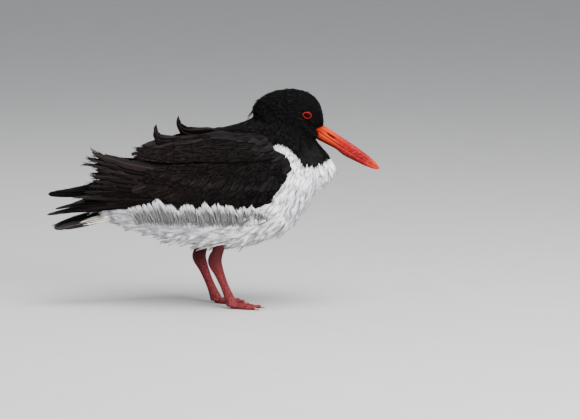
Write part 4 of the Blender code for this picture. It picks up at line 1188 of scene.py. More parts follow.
def quill_paths(flank, side, root, tip, bow, late, lifts, draw):
    """Paths of quills over the flank from root to tip, and the way out of it along them.

    bow arches each path upwards, and late lets it sag so that it turns up at its end.
    """
    count = len(root)
    s = np.linspace(0, 1, CONTROLS)[None, :, None]
    bow = np.reshape(bow + draw.uniform(-0.5, 0.7, count), (count, 1, 1))
    way = tip - root
    cross = np.stack([-way[:, 1], way[:, 0]], axis=-1) / np.linalg.norm(way, axis=-1, keepdims=True)
    spot = root[:, None] + way[:, None] * s - cross[:, None] * bow * 4 * s * (1 - s)
    spot[..., 1] += 0.75 * late * (s[..., 0] ** 4 - s[..., 0])
    surface, out = flank.frame(spot[..., 0], spot[..., 1], side)
    lift = lifts[0] + (lifts[1] - lifts[0]) * s + draw.uniform(-0.12, 0.12, (count, 1, 1))
    path = resampled(clear_of_middle(surface + out * lift, side), STATIONS)
    return path, unit(resampled(out, STATIONS))


def lay_tier(coat, flank, side, tier, draw):
    """One tier of quills, laid over the flank from their roots to their tips."""
    label, width, lifts, (opening, closing, point), ragged, bow, roots, tips = tier
    primary = label == "primary"
    far = primary and side > 0
    if "scapular" in label or "covert" in label:
        tips = rows_at(tips, np.linspace(0, len(tips) - 1, 2 * len(tips) - 1))
    if "scapular" in label:
        tips = dropped(tips, side)
    if far:
        tips = FAR_PRIMARY_TIPS
        closing, point = FAR_PRIMARY_CLOSING
    count = len(tips)
    root = rows_at(roots, np.linspace(0, len(roots) - 1, count)) + draw.normal(0, 0.8, (count, 2))
    tip = np.array(tips, float) + draw.normal(0, 1, (count, 2)) * ((0.2, 0.1) if primary else (0.8, 0.5))
    bow = bow * np.linspace(1.0, 0.4, count) if primary else bow
    late = np.clip(tip[:, 1:] - TURNS_UP_OVER, 0, None) * (label == "tertial")
    path, out = quill_paths(flank, side, root, tip, bow, late, lifts, draw)
    across, normal = ways_across(path, out)
    roll = -side * (0.07 + (0.4 if far else 0.95) * smooth((-100.0 - path[..., :1]) / 45.0))
    across, normal = (across * np.cos(roll) + normal * np.sin(roll),
                      normal * np.cos(roll) - across * np.sin(roll))
    half = outline(np.linspace(0, 1, STATIONS), width, opening, closing, point)[None]
    half = half * draw.uniform(0.92, 1.08, (count, 1))
    notch = splits(draw, count, STATIONS, 0.16, 0.3, ragged)
    points = vane_points(path, normal, across, half, (*FINE, 0.05, 0.07, 0.14), notch)
    chart = side_chart(*root.T)
    age = straight_along(AGE_LINE, root[:, 0] * 0.5 + tip[:, 0] * 0.5) + draw.normal(0, 0.12, count)
    age = np.clip(age, 0, 1)
    if primary:
        age = age * 0.3
        age[WORN_PRIMARY] = 1.0
    tone = draw.random(count)
    coat.add(points, vane_faces(STATIONS, FINE), vane_chart(STATIONS, *FINE), chart, tone, age)
    if ragged > 1.0:
        fray(coat, path, normal, across, half, chart, tone, age, draw)


FRAYED_BARBS = 22


def fray(coat, path, normal, across, half, root, tone, age, draw):
    """Loose barbs along both edges of worn feathers, more of them towards the tips."""
    feathers, stations = path.shape[:2]
    which = np.repeat(np.arange(feathers), FRAYED_BARBS)
    share = 0.5 + 0.5 * draw.random(len(which)) ** 0.7
    at = np.minimum((share * (stations - 1)).astype(int), stations - 2)
    way = draw.choice((-1.0, 1.0), len(which))
    ahead = unit(path[which, at + 1] - path[which, at])
    start = path[which, at] + across[which, at] * (way * half[which, at] * 0.7)[:, None]
    leave = across[which, at] * (way * draw.uniform(0.1, 0.5, len(which)))[:, None]
    leave = leave + normal[which, at] * draw.normal(0.05, 0.12, len(which))[:, None]
    length = draw.uniform(4.0, 9.0, len(which))
    lines = start[:, None] + (ahead * length[:, None])[:, None] * LOCK_SHARES[None, :, None]
    lines = lines + (leave * length[:, None])[:, None] * (LOCK_SHARES**1.4)[None, :, None]
    four = np.ones((1, 4, 1))
    locks = Locks(root[which], draw.uniform(0.5, 0.9, len(which)), tone[which], lines,
                  normal[which, at][:, None] * four, across[which, at][:, None] * four)
    locks.fill(coat, age[which])


# The rows of small coverts: where the first one starts, the rows' number and distance, and the
# feathers' number and distance in a row.
COVERT_START = (78.0, 158.0)
COVERT_ROWS = (11, 9.0)
COVERTS_IN_ROW = (9, 5.6)


def covert_roots():
    """Roots of the small coverts in side view, and the degrees that each points above straight back."""
    roots, ways = [], []
    forward, top_row = COVERT_START
    rows, rows_apart = COVERT_ROWS
    feathers, apart = COVERTS_IN_ROW
    for row in range(rows):
        for k in range(feathers):
            z = top_row - k * apart - (apart / 2 if row % 2 else 0.0)
            x = forward - row * rows_apart - (top_row - z) * 0.14
            top, bottom = wing_edges(x)
            if bottom + 6 < z < top and x < 76.5 and z > 127 - 0.1 * x:
                roots.append((x, z))
                ways.append(-34.0 + 0.16 * (70 - x) + (150 - z) * -0.2)
    return roots, ways


def small_coverts(coat, flank, side, draw):
    """Rows of small round coverts over the front of the wing, each row lapping the one behind."""
    roots, ways = covert_roots()
    roots = np.array(roots) + draw.normal(0, 0.7, (len(roots), 2))
    angle = np.radians(np.array(ways) + draw.normal(0, 4, len(ways)))
    near_front = smooth((roots[:, 0] - 45.0) / 25.0)
    length = draw.uniform(14, 18, len(roots)) * (1 - 0.3 * near_front)
    s = np.linspace(0, 1, 9)
    way = np.stack([-np.cos(angle), np.sin(angle)], axis=-1) * length[:, None]
    spot = roots[:, None] + way[:, None] * s[None, :, None]
    surface, out = flank.frame(spot[..., 0], spot[..., 1], side)
    lift = 1.8 + 0.8 * s[None, :, None] + draw.uniform(-0.12, 0.12, (len(roots), 1, 1))
    path = clear_of_middle(surface + out * lift, side)
    across, normal = ways_across(path, out)
    half = outline(s, 12.5, 0.2, 0.5, 1.8)[None] * draw.uniform(0.9, 1.1, (len(roots), 1))
    half = half * (1 - 0.4 * near_front)[:, None]
    notch = splits(draw, len(roots), len(s), 0.2, 0.25, 0.8)
    points = vane_points(path, normal, across, half, (*PLAIN, 0.05, 0.03, 0.1), notch)
    age = np.clip(straight_along(AGE_LINE, roots[:, 0]) * 0.6 + draw.normal(0, 0.1, len(roots)), 0, 1)
    coat.add(points, vane_faces(len(s), PLAIN), vane_chart(len(s), *PLAIN), side_chart(*roots.T),
             draw.random(len(roots)), age)


# Fine plumage over the vanes: the lower and upper edges in side view, forward and height, of the
# shoulder's group and of the coverts', and how many degrees below level its feathers lie, by place along.
LOBE_LOW = ((-64, 149.5), (-35, 148.5), (-6, 150.5), (12, 150.5), (40, 152), (62, 155))
LOBE_HIGH = ((-66, 159), (-40, 166), (-20, 170), (0, 173), (25, 175), (45, 174), (57, 168), (63, 159))
LOBE_LIE = ((-80, 4), (-20, 9), (30, 14), (60, 22))
COVERT_LOW = ((-60, 116), (-20, 112), (20, 111), (40, 109), (49, 110), (59, 117.5), (69, 127), (75, 136),
              (77.5, 143))
COVERT_HIGH = ((-60, 140), (-30, 147), (10, 150), (42, 157), (51, 163), (59, 159), (66, 155), (72.5, 151),
               (77.5, 144))
COVERT_LIE = ((-60, 12), (0, 24), (60, 42))
# By how many degrees the lie steepens for each millimetre down from the upper edge.
STEEPENS = 0.5


def lay_over(coat, flank, side, low, high, lie, lifts, length, width, apart, draw):
    """Fine plumage over a group of vanes, ending at the group's lower edge.

    lifts are the heights over the flank at the group's upper and lower edges, and apart is the
    distance between roots.
    """
    low_x, low_z = np.array(low, float).T
    high_x, high_z = np.array(high, float).T
    box = np.array((low_x[0], low_z.min(), low_x[-1], high_z.max()))
    count = int((box[2] - box[0]) * (box[3] - box[1]) / (apart * 1.0) ** 2)
    forward, up = scattered(count)
    x = box[0] + (box[2] - box[0]) * forward
    z = box[1] + (box[3] - box[1]) * up
    inside = (z > np.interp(x, low_x, low_z)) & (z < np.interp(x, high_x, high_z))
    x, z = x[inside], z[inside]
    down = np.interp(x, high_x, high_z) - z
    angle = np.radians(straight_along(lie, x) + STEEPENS * down + draw.normal(0, 5, len(x)))
    length = length * draw.uniform(0.8, 1.2, len(x))
    share = LOCK_SHARES[None]
    spot_x = x[:, None] - (np.cos(angle) * length)[:, None] * share
    spot_z = z[:, None] - (np.sin(angle) * length)[:, None] * share
    edge = np.interp(spot_x, low_x, low_z)
    spot_z = np.maximum(spot_z, edge - 1.0 + draw.normal(0, 0.6, (len(x), 1)))
    height = np.clip((spot_z - edge) / np.maximum(np.interp(spot_x, high_x, high_z) - edge, 3.0), 0, 1)
    surface, out = flank.frame(spot_x, spot_z, side)
    sunk = 0.9 + 3.0 * smooth((x[:, None] - 50.0) / 14.0)
    lift = lifts[0] + (lifts[1] - lifts[0]) * smooth(1 - height) + 0.5 * share - sunk * (1 - share) ** 3
    path = clear_of_middle(surface + out * (lift + draw.normal(0, 0.18, (len(x), 1)))[..., None], side)
    locks = Locks(side_chart(x, z), width * draw.uniform(0.75, 1.25, len(x)), draw.random(len(x)), path, out,
                  ways_across(path, out)[0])
    chosen, _ = nearest(path[:, 0], 12)
    locks.gather(chosen, 0.4)
    age = np.clip(straight_along(AGE_LINE, x) + draw.normal(0, 0.1, len(x)), 0, 1)
    locks.fill(coat, age)


def make_wings(flank):
    """Both folded wings: flight feathers, the coverts over them and the shoulder feathers on top."""
    vane = black_vane("black_vane")
    for side, label in ((-1, "right"), (1, "left")):
        draw = np.random.default_rng(SEED + 10 * side + 20)
        quills, coverts, scapulars = Coat(), Coat(), Coat()
        for tier in WING_TIERS:
            lay_tier(coverts if "covert" in tier[0] else quills, flank, side, tier, draw)
        small_coverts(coverts, flank, side, draw)
        lay_over(coverts, flank, side, COVERT_LOW, COVERT_HIGH, COVERT_LIE, (2.7, 2.3),
                 length=11.0, width=1.3, apart=1.45, draw=draw)
        for tier in SCAPULAR_TIERS:
            lay_tier(scapulars, flank, side, tier, draw)
        lay_over(scapulars, flank, side, LOBE_LOW, dropped(LOBE_HIGH, side), LOBE_LIE, (4.6, 4.4),
                 length=15.0, width=1.4, apart=1.25, draw=draw)
        wing = quills.build(f"flight_feathers_{label}", vane, "black_plumage")
        coverts.build(f"coverts_{label}", vane, "black_plumage")
        scapulars.build(f"scapulars_{label}", vane, "black_plumage")
        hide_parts(f"wing_{label}")


def bezier(points, t):
    """The point at t on the curve that these points steer."""
    rows = [np.array(p, float)[None] for p in points]
    t = np.asarray(t)[:, None]
    while len(rows) > 1:
        rows = [a * (1 - t) + b * t for a, b in zip(rows, rows[1:])]
    return rows[0]


# Where the turned-up feathers of the back go, in two bundles: four points that steer each, and its width.
BLOWN = (
    (((-18, -13, 168), (-47, -13, 164), (-61, -13, 168), (-56.5, -13, 184.5)), 14.5),
    (((-14, -12, 169), (-44, -13, 164), (-59, -14, 165), (-55.5, -14, 178)), 14.0),
    (((-16, -14, 167), (-42, -15, 164), (-56, -15, 161), (-58, -15, 172)), 12.0),
    (((6, 8, 175), (-22, 8, 170.5), (-37, 8, 174), (-35, 8, 190.7)), 14.5),
    (((8, 6, 175), (-18, 6, 170), (-34, 6, 170), (-33.5, 6, 183)), 14.0),
    (((10, 10, 175), (-14, 11, 171), (-28, 11, 169), (-29, 11, 178)), 12.0),
)


# Where these feathers and those of the tail open and close, and how sharp they are.
BLOWN_SHAPE = (0.15, 0.36, 1.3)
TAIL_SHAPE = (0.1, 0.5, 1.5)


def free_feather(coat, bends, width, twist, draw, root, shape, ragged, age, stations=22):
    """A feather in the open along a bent path. A twist of zero lays it level across the bird."""
    s = np.linspace(0, 1, stations)
    path = bezier(bends, s)
    ahead = unit(np.gradient(path, axis=0))
    level = np.array((0.0, 1.0, 0.0))
    upright = unit(np.cross(ahead, level))
    across = level * math.cos(twist) + upright * math.sin(twist)
    normal = unit(np.cross(ahead, across))
    half = outline(s, width, *shape)
    notch = splits(draw, 1, stations, 0.2, 0.3, ragged)
    section = (*FINE, 0.12, 0.12, 0.22)
    points = vane_points(path[None], normal[None], across[None], half[None], section, notch)
    coat.add(points, vane_faces(stations, FINE), vane_chart(stations, *FINE), np.array([root]),
             np.array([draw.random()]), np.array([age]))


def make_blown():
    """Feathers of the back that the wind has turned up."""
    draw = np.random.default_rng(SEED + 2)
    coat = Coat()
    for i, (bends, width) in enumerate(BLOWN):
        free_feather(coat, bends, width, math.radians(58 + draw.uniform(-8, 8)), draw,
                     root=(0.3 + 0.05 * i, 0.5), shape=BLOWN_SHAPE, ragged=0.6, age=1.0)
    coat.build("blown_coat", black_vane("blown_vane"), "black_plumage")


def tail_vane():
    """Tail feathers: white with a broad black end, which age makes longer on those in the middle. The white
    is cream, dimmed by painted shade.
    """
    made = Finish("tail_vane", Specular_IOR_Level=0.12)
    edge, down = made.vane()
    tone = made.attribute("tone")
    central = made.attribute("age")
    ragged = made.noise(0.25, 2.0) * 0.1 + edge * edge * edge * 0.4
    band = made.step(down + central * 0.48 + ragged, 0.54, 0.64)
    shaft = made.step(edge, 0.08, 0.03)
    # The white part is cream and dimmed well below the white down, which is painted shade where the tail lies
    # under the wings.
    white = made.mix(tone, (0.4, 0.385, 0.32), (0.56, 0.545, 0.48))
    black = made.mix(tone, (0.0018, 0.0016, 0.002), (0.006, 0.005, 0.005))
    colour = made.mix(band, white, black)
    colour = made.mix(shaft * 0.5, colour, (0.12, 0.1, 0.09))
    height = barb_ripples(made, edge, down) * 0.3 + shaft
    return made.use(Base_Color=colour, Roughness=0.45 + 0.2 * tone, Normal=made.bump(height, 0.3, 0.0004))


TAIL_FEATHERS = 12


def make_tail():
    """The tail, hardly spread, with its middle feathers on top."""
    draw = np.random.default_rng(SEED + 3)
    coat = Coat()
    for i in range(TAIL_FEATHERS):
        spread_out = 2 * i / (TAIL_FEATHERS - 1) - 1
        out = abs(spread_out)
        lift = 1.4 * (1 - out) + 1.0 * (out < 0.3) + draw.uniform(-0.1, 0.25)
        bends = ((-98.0, spread_out * 8.0, 96.0 - 3.0 * out + lift),
                 (-132.0, spread_out * 17.0, 94.0 - 9.0 * out + lift),
                 (-162.0 + 4.0 * out, spread_out * 13.0, 79.8 - 1.2 * out + lift * 0.5))
        free_feather(coat, bends, 12.0, math.radians(38.0) * spread_out, draw,
                     root=(0.1 + 0.07 * i, 0.2 + 0.05 * out), shape=TAIL_SHAPE, ragged=0.15,
                     age=1.0 if out < 0.3 else 0.0, stations=30)
    tail = coat.build("tail_feathers", tail_vane(), "white_plumage")
    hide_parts("tail")


# The middle line of the tail's root and half the depth of the feathers round it, by place along.
TAIL_MIDDLE = ((-140, 88.0), (-130, 91.0), (-118, 93.5), (-98, 97.0), (-85, 103.0))
TAIL_DEPTH = ((-140, 2.6), (-128, 3.6), (-118, 5.5), (-107, 9.0), (-95, 13.0), (-85, 18.0))
TAIL_LOCKS = 2200


def make_tail_coverts(white):
    """Soft white feathers over the root of the tail, all round it."""
    draw = np.random.default_rng(SEED + 6)
    count = TAIL_LOCKS
    turn = draw.uniform(-math.pi, math.pi, count)
    start = draw.uniform(-103, -86, count)
    low = (1 - np.cos(turn)) / 2
    length = draw.uniform(6, 11, count) + 4.0 * low
    x = start[:, None] - length[:, None] * LOCK_SHARES[None]
    y = (11.5 + 0.5 * draw.normal(0, 1, count) * low)[:, None] * np.sin(turn)[:, None]
    rise = 1.0 - 2.5 * (1 - LOCK_SHARES[None]) + draw.normal(0, 0.35, (count, 1)) * LOCK_SHARES[None]
    z = along(TAIL_MIDDLE, x) - 4.0 * (y / 12) ** 2
    z = z + (along(TAIL_DEPTH, x) + rise) * np.cos(turn)[:, None]
    y = y + np.sin(turn)[:, None] * rise
    path = np.stack([x, y, z], axis=-1)
    out = unit(np.stack([np.full(count, -0.1), np.sin(turn), np.cos(turn)], axis=-1))
    out = np.broadcast_to(out[:, None], path.shape)
    across = ways_across(path, out)[0]
    root = np.stack([(start + 180) / 280, 0.05 + 0.9 * (turn / (2 * math.pi) + 0.5)], axis=-1)
    locks = Locks(root, draw.uniform(0.9, 1.5, count), draw.random(count), path, out, across)
    chosen, _ = nearest(path[:, 0], 22)
    locks.gather(chosen, 0.6)
    coat = Coat()
    locks.fill(coat, np.zeros(count))
    coat.build("tail_coverts", white, "white_plumage")


def horn(name):
    """A faintly glossy horn, with the place along the piece and the grain that its colours follow."""
    made = Finish(name, Specular_IOR_Level=0.07, Coat_Weight=0.015, Coat_Roughness=0.25)
    return made, made.attribute("reach"), made.noise(0.9, 4.0, stretch=(0.35, 1.0, 1.0))


def claw_finish():
    """Dusky horn, darker towards the tip."""
    made, reach, grain = horn("claw_horn_finish")
    colour = made.mix(reach, (0.34, 0.17, 0.1), (0.16, 0.09, 0.06))
    return made.use(Base_Color=colour, Roughness=0.35 + 0.2 * grain, Normal=made.bump(grain, 0.2, 0.0003))


def bill_finish():
    """Orange-red horn, redder along its middle and yellower at its tip, with painted shade in its grooves,
    along the mouth line near its root and over the underside of the lower half.
    """
    made, reach, grain = horn("bill_horn_finish")
    colour = made.node("ShaderNodeValToRGB", {"stops": (
        (0.0, (0.27, 0.012, 0.0002)), (0.12, (0.36, 0.021, 0.0002)), (0.38, (0.2, 0.0015, 0.002)),
        (0.75, (0.15, 0.0008, 0.0045)), (0.93, (0.32, 0.016, 0.0003)))}, {0: reach + 0.12 * grain - 0.06})
    streak = made.step(grain, 0.5, 0.72)
    colour = made.mix(streak * made.step(reach, 0.15, 0.5) * 0.45, colour, (0.36, 0.075, 0.07))
    # Painted shade: the grooves by the nostril, the mouth line near the root and the underside of the lower
    # half are darkened.
    dark = made.attribute("groove")
    colour = made.mix(dark, colour, (0.045, 0.0012, 0.0005))
    return made.use(Base_Color=colour, Roughness=0.38 + 0.25 * grain, Normal=made.bump(grain, 0.3, 0.0004))


def bill_point(a, d, y):
    """The point a along the bill, d up across it and y sideways."""
    slope = math.radians(BILL_SLOPE)
    return np.stack(np.broadcast_arrays(BILL_ROOT[0] + a * math.cos(slope) + d * math.sin(slope), y,
                                        BILL_ROOT[1] - a * math.sin(slope) + d * math.cos(slope)), axis=-1)


def mandible(name, upper_edge, lower_edge, cad_node, finish, upper):
    """One half of the bill, with its keel, its cutting edge and, on the upper one, the nostril."""
    stations, ring = 150, 56
    share = np.linspace(0, 1, stations)[:, None]
    a = -8.0 + (BILL_LENGTH + 8.0) * np.sin(share * math.pi / 2) ** 0.9
    top, bottom = upper_edge(a), lower_edge(a)
    width = along(BILL_HALF_WIDTH, a)
    angle = (2 * math.pi * (np.arange(ring) + 0.5) / ring)[None]
    c, s = np.cos(angle), np.sin(angle)
    free = c if upper else -c
    pinch = 1 - 0.3 * np.clip(free, 0, 1) ** 2
    y = np.copysign(np.abs(s) ** (0.8 - 0.66 * smooth(-2 * free)), s) * width * pinch
    d = (top + bottom) / 2 + np.copysign(np.abs(c) ** 0.8, c) * (top - bottom) / 2
    if upper:
        place, height, half_length, half_height, deep = NOSTRIL
        off = np.hypot((a - place) / half_length, (d - height) / half_height)
        groove = smooth((1.25 - off) / 0.6)
        trough = smooth((1.6 - np.abs(d - height) / 1.3) / 0.8) * smooth((34 - a) / 20)
        trough = trough * smooth((a + 1) / 8)
        y = y - np.sign(y) * (deep * groove + 0.45 * trough)
        # Painted shade: the grooves by the nostril and the mouth line near the root are painted dark through
        # this value.
        lips = smooth(1 - (d - bottom) / 0.9) * smooth((26 - a) / 20)
        groove = np.maximum(groove, 0.75 * lips)
    else:
        # Painted shade: the lower half darkens towards its underside, less towards its tip.
        groove = 0.8 * smooth(1.2 * (top - d) / (top - bottom) + 0.1) * smooth((68 - a) / 26)
    mesh = loft_mesh(name, bill_point(a, d, y))
    add_values(mesh, reach=np.broadcast_to(np.clip(a / BILL_LENGTH, 0, 1), y.shape), groove=groove)
    obj = piece(name, mesh, finish)
    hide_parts(cad_node)


def make_bill():
    finish = bill_finish()
    mandible("upper_mandible", lambda a: along(CULMEN, a), lambda a: along(MOUTH_LINE, a) + 0.01,
             "bill_upper", finish, True)
    mandible("lower_mandible", lambda a: along(MOUTH_LINE, a) - 0.01, lambda a: along(BILL_UNDERSIDE, a),
             "bill_lower", finish, False)


def surface_y(x, z):
    """Half the head's width at points in side view, found by walking the fan."""
    x, z = np.broadcast_arrays(np.asarray(x, float), np.asarray(z, float))
    low, high = np.full(x.shape, HEAD_START), np.full(x.shape, HEAD_END)
    for _ in range(40):
        middle = (low + high) / 2
        back_x, back_z, front_x, front_z = np.moveaxis(rows_at(SECTIONS, middle)[..., :4], -1, 0)
        ahead = (x - back_x) * (back_z - front_z) + (z - back_z) * (front_x - back_x)
        low, high = np.where(ahead > 0, middle, low), np.where(ahead > 0, high, middle)
    row = rows_at(SECTIONS, low)
    back, way = row[..., 0:2], row[..., 2:4] - row[..., 0:2]
    share = ((np.stack([x, z], axis=-1) - back) * way).sum(axis=-1) / (way**2).sum(axis=-1)
    return np.abs(body_points(low, np.arccos(np.clip(1 - 2 * share, -1, 1)))[..., 1])


def eye_finish():
    """A wet eye: black pupil, deep red iris with fine rays, dark rim."""
    made = Finish("eye_finish", Specular_IOR_Level=0.008, Coat_Weight=0.006, Coat_Roughness=0.04)
    reach = made.attribute("reach")
    rays = made.noise(1.6, 4.0)
    colour = made.mix(rays, (0.01, 0.0004, 0.0004), (0.035, 0.001, 0.001))
    colour = made.mix(made.step(reach, PUPIL + 0.04, PUPIL), colour, (0.002, 0.002, 0.003))
    colour = made.mix(made.step(reach, IRIS - 0.1, IRIS + 0.02), colour, (0.006, 0.003, 0.003))
    return made.use(Base_Color=colour, Roughness=0.12 + 0.1 * rays)


def ring_finish():
    """Bare orange-red skin, a little pleated."""
    made = Finish("eye_ring_finish", Specular_IOR_Level=0.15)
    grain = made.noise(2.2, 3.0)
    colour = made.mix(grain, (0.12, 0.002, 0.0008), (0.19, 0.006, 0.0015))
    return made.use(Base_Color=colour, Roughness=0.4 + 0.2 * grain, Normal=made.bump(grain, 0.5, 0.0003))


def eyeball(label, side, y, finish):
    """One eyeball, a little domed over its pupil. y is its centre's distance from the middle plane."""
    turn = np.linspace(0, math.pi, 49)[1:-1, None]
    angle = full_turn(64)[None]
    radius = EYE_RADIUS + 0.35 * np.exp(-(turn / 0.5) ** 2)
    rings = np.stack([EYE_CENTRE[0] + radius * np.sin(turn) * np.cos(angle),
                      side * (y + radius * np.cos(turn)) + 0 * angle,
                      EYE_CENTRE[1] + radius * np.sin(turn) * np.sin(angle) * side], axis=-1)
    mesh = loft_mesh(f"eyeball_{label}", rings)
    add_values(mesh, reach=np.sin(turn) * np.where(turn < math.pi / 2, 1, 9) + 0 * angle)
    eye = piece(f"eyeball_{label}", mesh, finish)
    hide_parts(f"eye_{label}")


RIM_STATIONS = 96
RIM_RING = 16


def eye_rim(label, side, y, finish):
    """The bare ring round one eye, pleated, and drawn out to a corner at the back."""
    around = full_turn(RIM_STATIONS)[:, None]
    across = full_turn(RIM_RING)[None]
    pleat = 1.0 + 0.05 * np.sin(around * 23) + 0.04 * np.sin(around * 37 + 1)
    spread_out = 0.42 * np.cos(across) * pleat
    corner = 0.8 * np.exp(-((np.abs(around - math.pi)) / 0.3) ** 2)
    length = (RING_LENGTH / 2 - 0.1 + spread_out + corner) * np.cos(around)
    height = (RING_HEIGHT / 2 - 0.1 + spread_out) * np.sin(around)
    tilt = math.radians(EYE_TILT)
    x = EYE_CENTRE[0] + length * math.cos(tilt) - height * math.sin(tilt)
    z = EYE_CENTRE[1] + length * math.sin(tilt) + height * math.cos(tilt)
    off = np.hypot(x - EYE_CENTRE[0], z - EYE_CENTRE[1])
    on_ball = y + np.sqrt(np.maximum(EYE_RADIUS**2 - off**2, 0.0))
    on_face = np.minimum(surface_y(x, z), y + EYE_RADIUS - EYE_STANDS_OUT + 1.0)
    base = np.maximum(on_face, on_ball + 0.15)
    rings = np.stack([x, side * (base - 0.1 + 0.75 * np.sin(across) + 0 * around), z], axis=-1)
    mesh = mesh_of(f"eye_rim_{label}", rings.reshape(-1, 3), hoop_faces(RIM_STATIONS, RIM_RING))
    bm = bmesh.new()
    bm.from_mesh(mesh)
    bmesh.ops.recalc_face_normals(bm, faces=bm.faces)
    bm.to_mesh(mesh)
    bm.free()
    rim = piece(f"eye_rim_{label}", mesh, finish)
    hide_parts(f"lids_{label}")


def make_eyes():
    eye_skin, ring_skin = eye_finish(), ring_finish()
    y = float(surface_y(*EYE_CENTRE)) + EYE_STANDS_OUT - EYE_RADIUS
    for side, label in ((-1, "right"), (1, "left")):
        eyeball(label, side, y, eye_skin)
        eye_rim(label, side, y, ring_skin)


def leg_finish():
    """Dusky pink-red skin in small scales, darker in its creases, with painted shade higher up under the
    belly.
    """
    made = Finish("leg_scales", Specular_IOR_Level=0.1)
    spot = made.place()
    spot = made.node("ShaderNodeVectorMath", {"operation": "MULTIPLY"}, {0: spot, 1: (1.0, 1.0, 0.8)})
    edges = made.node("ShaderNodeTexVoronoi", {"feature": "DISTANCE_TO_EDGE"}, {"Vector": spot, "Scale": 0.6})
    centres = made.node("ShaderNodeTexVoronoi", None, {"Vector": spot, "Scale": 0.6})
    patch = made.noise(0.12, 3.0)
    fine = made.noise(1.8, 3.0)
    crease = made.step(edges, 0.0, 0.16)
    skin = made.mix(patch, (0.09, 0.006, 0.008), (0.18, 0.017, 0.021))
    skin = made.mix(made.step(centres, 0.4, 0.05) * 0.55 + fine * 0.15, skin, (0.29, 0.08, 0.08))
    colour = made.mix(crease, (0.035, 0.005, 0.006), skin)
    # Painted shade: the skin darkens higher up, where the belly shades it.
    high = made.step(made.split(made.place())[2], 28.0, 54.0)
    colour = made.mix(high * 0.88, colour, (0.03, 0.003, 0.004))
    height = crease * 0.7 + fine * 0.3
    return made.use(Base_Color=colour, Roughness=0.42 + 0.2 * fine, Normal=made.bump(height, 0.6, 0.0004))


def leg_rings(side, low, high, count, ring):
    """Rings of a leg, scaled across its front, between two places in the table of its line."""
    t = np.linspace(low, high, count)
    x, z, depth, width = rows_at(LEG_LINE, t).T
    angle = full_turn(ring)[None]
    scute = 1 + 0.018 * np.sin(z[:, None] * 2.1 + 2.5 * np.cos(angle)) * (0.5 + 0.5 * np.cos(angle))
    flat = 1 - 0.08 * np.abs(np.sin(angle)) ** 3
    return np.stack([ANKLES[side] + x[:, None] + depth[:, None] * np.cos(angle) * scute,
                     side * LEG_SPREAD + width[:, None] * np.sin(angle) * flat * scute,
                     z[:, None] + 0 * angle], axis=-1)


TOE_STATIONS = 90
CLAW_STATIONS = 24
TOE_RING = 24


def toe_rings(root, length, heading, claw):
    """Rings of a toe with its joint pads and scutes, or of the claw on its end."""
    direction = np.array((math.cos(heading), math.sin(heading), 0.0))
    across = np.array((-direction[1], direction[0], 0.0))
    if claw:
        reach = np.linspace(length - CLAW_ROOT, length + CLAW_LENGTH, CLAW_STATIONS)
    else:
        reach = np.linspace(0, length + 0.6, TOE_STATIONS)
    on_toe = np.minimum(reach / length, 1.0)
    width = TOE_HALF_WIDTH * (1.0 - 0.36 * on_toe) * (1.0 + 0.10 * np.cos(on_toe * 6 * math.pi))
    if claw:
        width = np.interp(reach, (length - CLAW_ROOT, length, length + CLAW_LENGTH), (1.5, 1.35, 0.25))
    else:
        width *= np.sqrt(np.clip((length + 1.0 - reach) / 2.2, 0.1, 1))
    height = width * 0.95
    angle = full_turn(TOE_RING)[None]
    up = np.sin(angle)
    scute = 1.0 if claw else 1 + 0.035 * np.clip(up, 0, 1) * np.abs(np.sin(reach * math.pi / 1.6))[:, None]
    rise = height * 0.8 + (0.25 if claw else 0.0)
    middle = root + direction * reach[:, None] + np.array((0, 0, 1.0)) * rise[:, None]
    side_way = across * (np.cos(angle) * width[:, None] * scute)[..., None]
    rings = middle[:, None] + side_way
    rings[..., 2] += up * height[:, None] * scute
    rings[..., 2] = np.maximum(rings[..., 2], 0.0)
    return rings


def web_rings(root, first, second, length):
    """The short web between two toes, hollowed along its edge."""
    rows = []
    for share in np.linspace(0, 1, 12):
        heading = first + (second - first) * share
        reach = length * (1 - 0.35 * math.sin(math.pi * share))
        way = np.array((math.cos(heading), math.sin(heading), 0.0))
        rows.append([root + way * reach * 0.1 + (0, 0, 0.6), root + way * reach + (0, 0, 0.5),
                     root + way * reach + (0, 0, 1.5), root + way * reach * 0.1 + (0, 0, 3.0)])
    return np.array(rows)


def make_legs():
    """Both legs with their feet, each one scaled piece, and their claws."""
    scales, claw_horn = leg_finish(), claw_finish()
    for side, label in ((-1, "right"), (1, "left")):
        pieces = [loft_mesh(f"shank_{label}", leg_rings(side, 0.0, len(LEG_LINE) - 1.15, 150, 40))]
        ankle = rows_at(LEG_LINE, len(LEG_LINE) - 2)[0]
        root = np.array((ANKLES[side] + ankle + 1.0, side * LEG_SPREAD, 0.0))
        claws = []
        headings = {}
        for toe_label, length, turn in TOES:
            headings[toe_label] = math.radians(-side * turn)
            pieces.append(loft_mesh(f"toe_{toe_label}", toe_rings(root, length, headings[toe_label], False)))
            claws.append(toe_rings(root, length, headings[toe_label], True))
        pieces.append(loft_mesh("web_outer", web_rings(root, headings["middle"], headings["outer"], 13.0)))
        pieces.append(loft_mesh("web_inner", web_rings(root, headings["inner"], headings["middle"], 8.5)))
        mesh = joined(f"leg_{label}_scales", pieces, 0.5)
        leg = piece(f"leg_{label}_scales", mesh, scales)
        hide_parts(f"leg_{label}", f"foot_{label}")
        faces = sweep_faces(CLAW_STATIONS, TOE_RING)
        points = np.concatenate([rings.reshape(-1, 3) for rings in claws])
        each = CLAW_STATIONS * TOE_RING
        faces = np.concatenate([faces + i * each for i in range(len(claws))])
        mesh = mesh_of(f"claws_{label}", points, faces)
        add_values(mesh, reach=np.tile(np.repeat(np.linspace(0, 1, CLAW_STATIONS), TOE_RING), len(claws)))
        piece(f"claws_{label}", mesh, claw_horn)


# Half the width of the floor.
STAGE_REACH = 60000.0


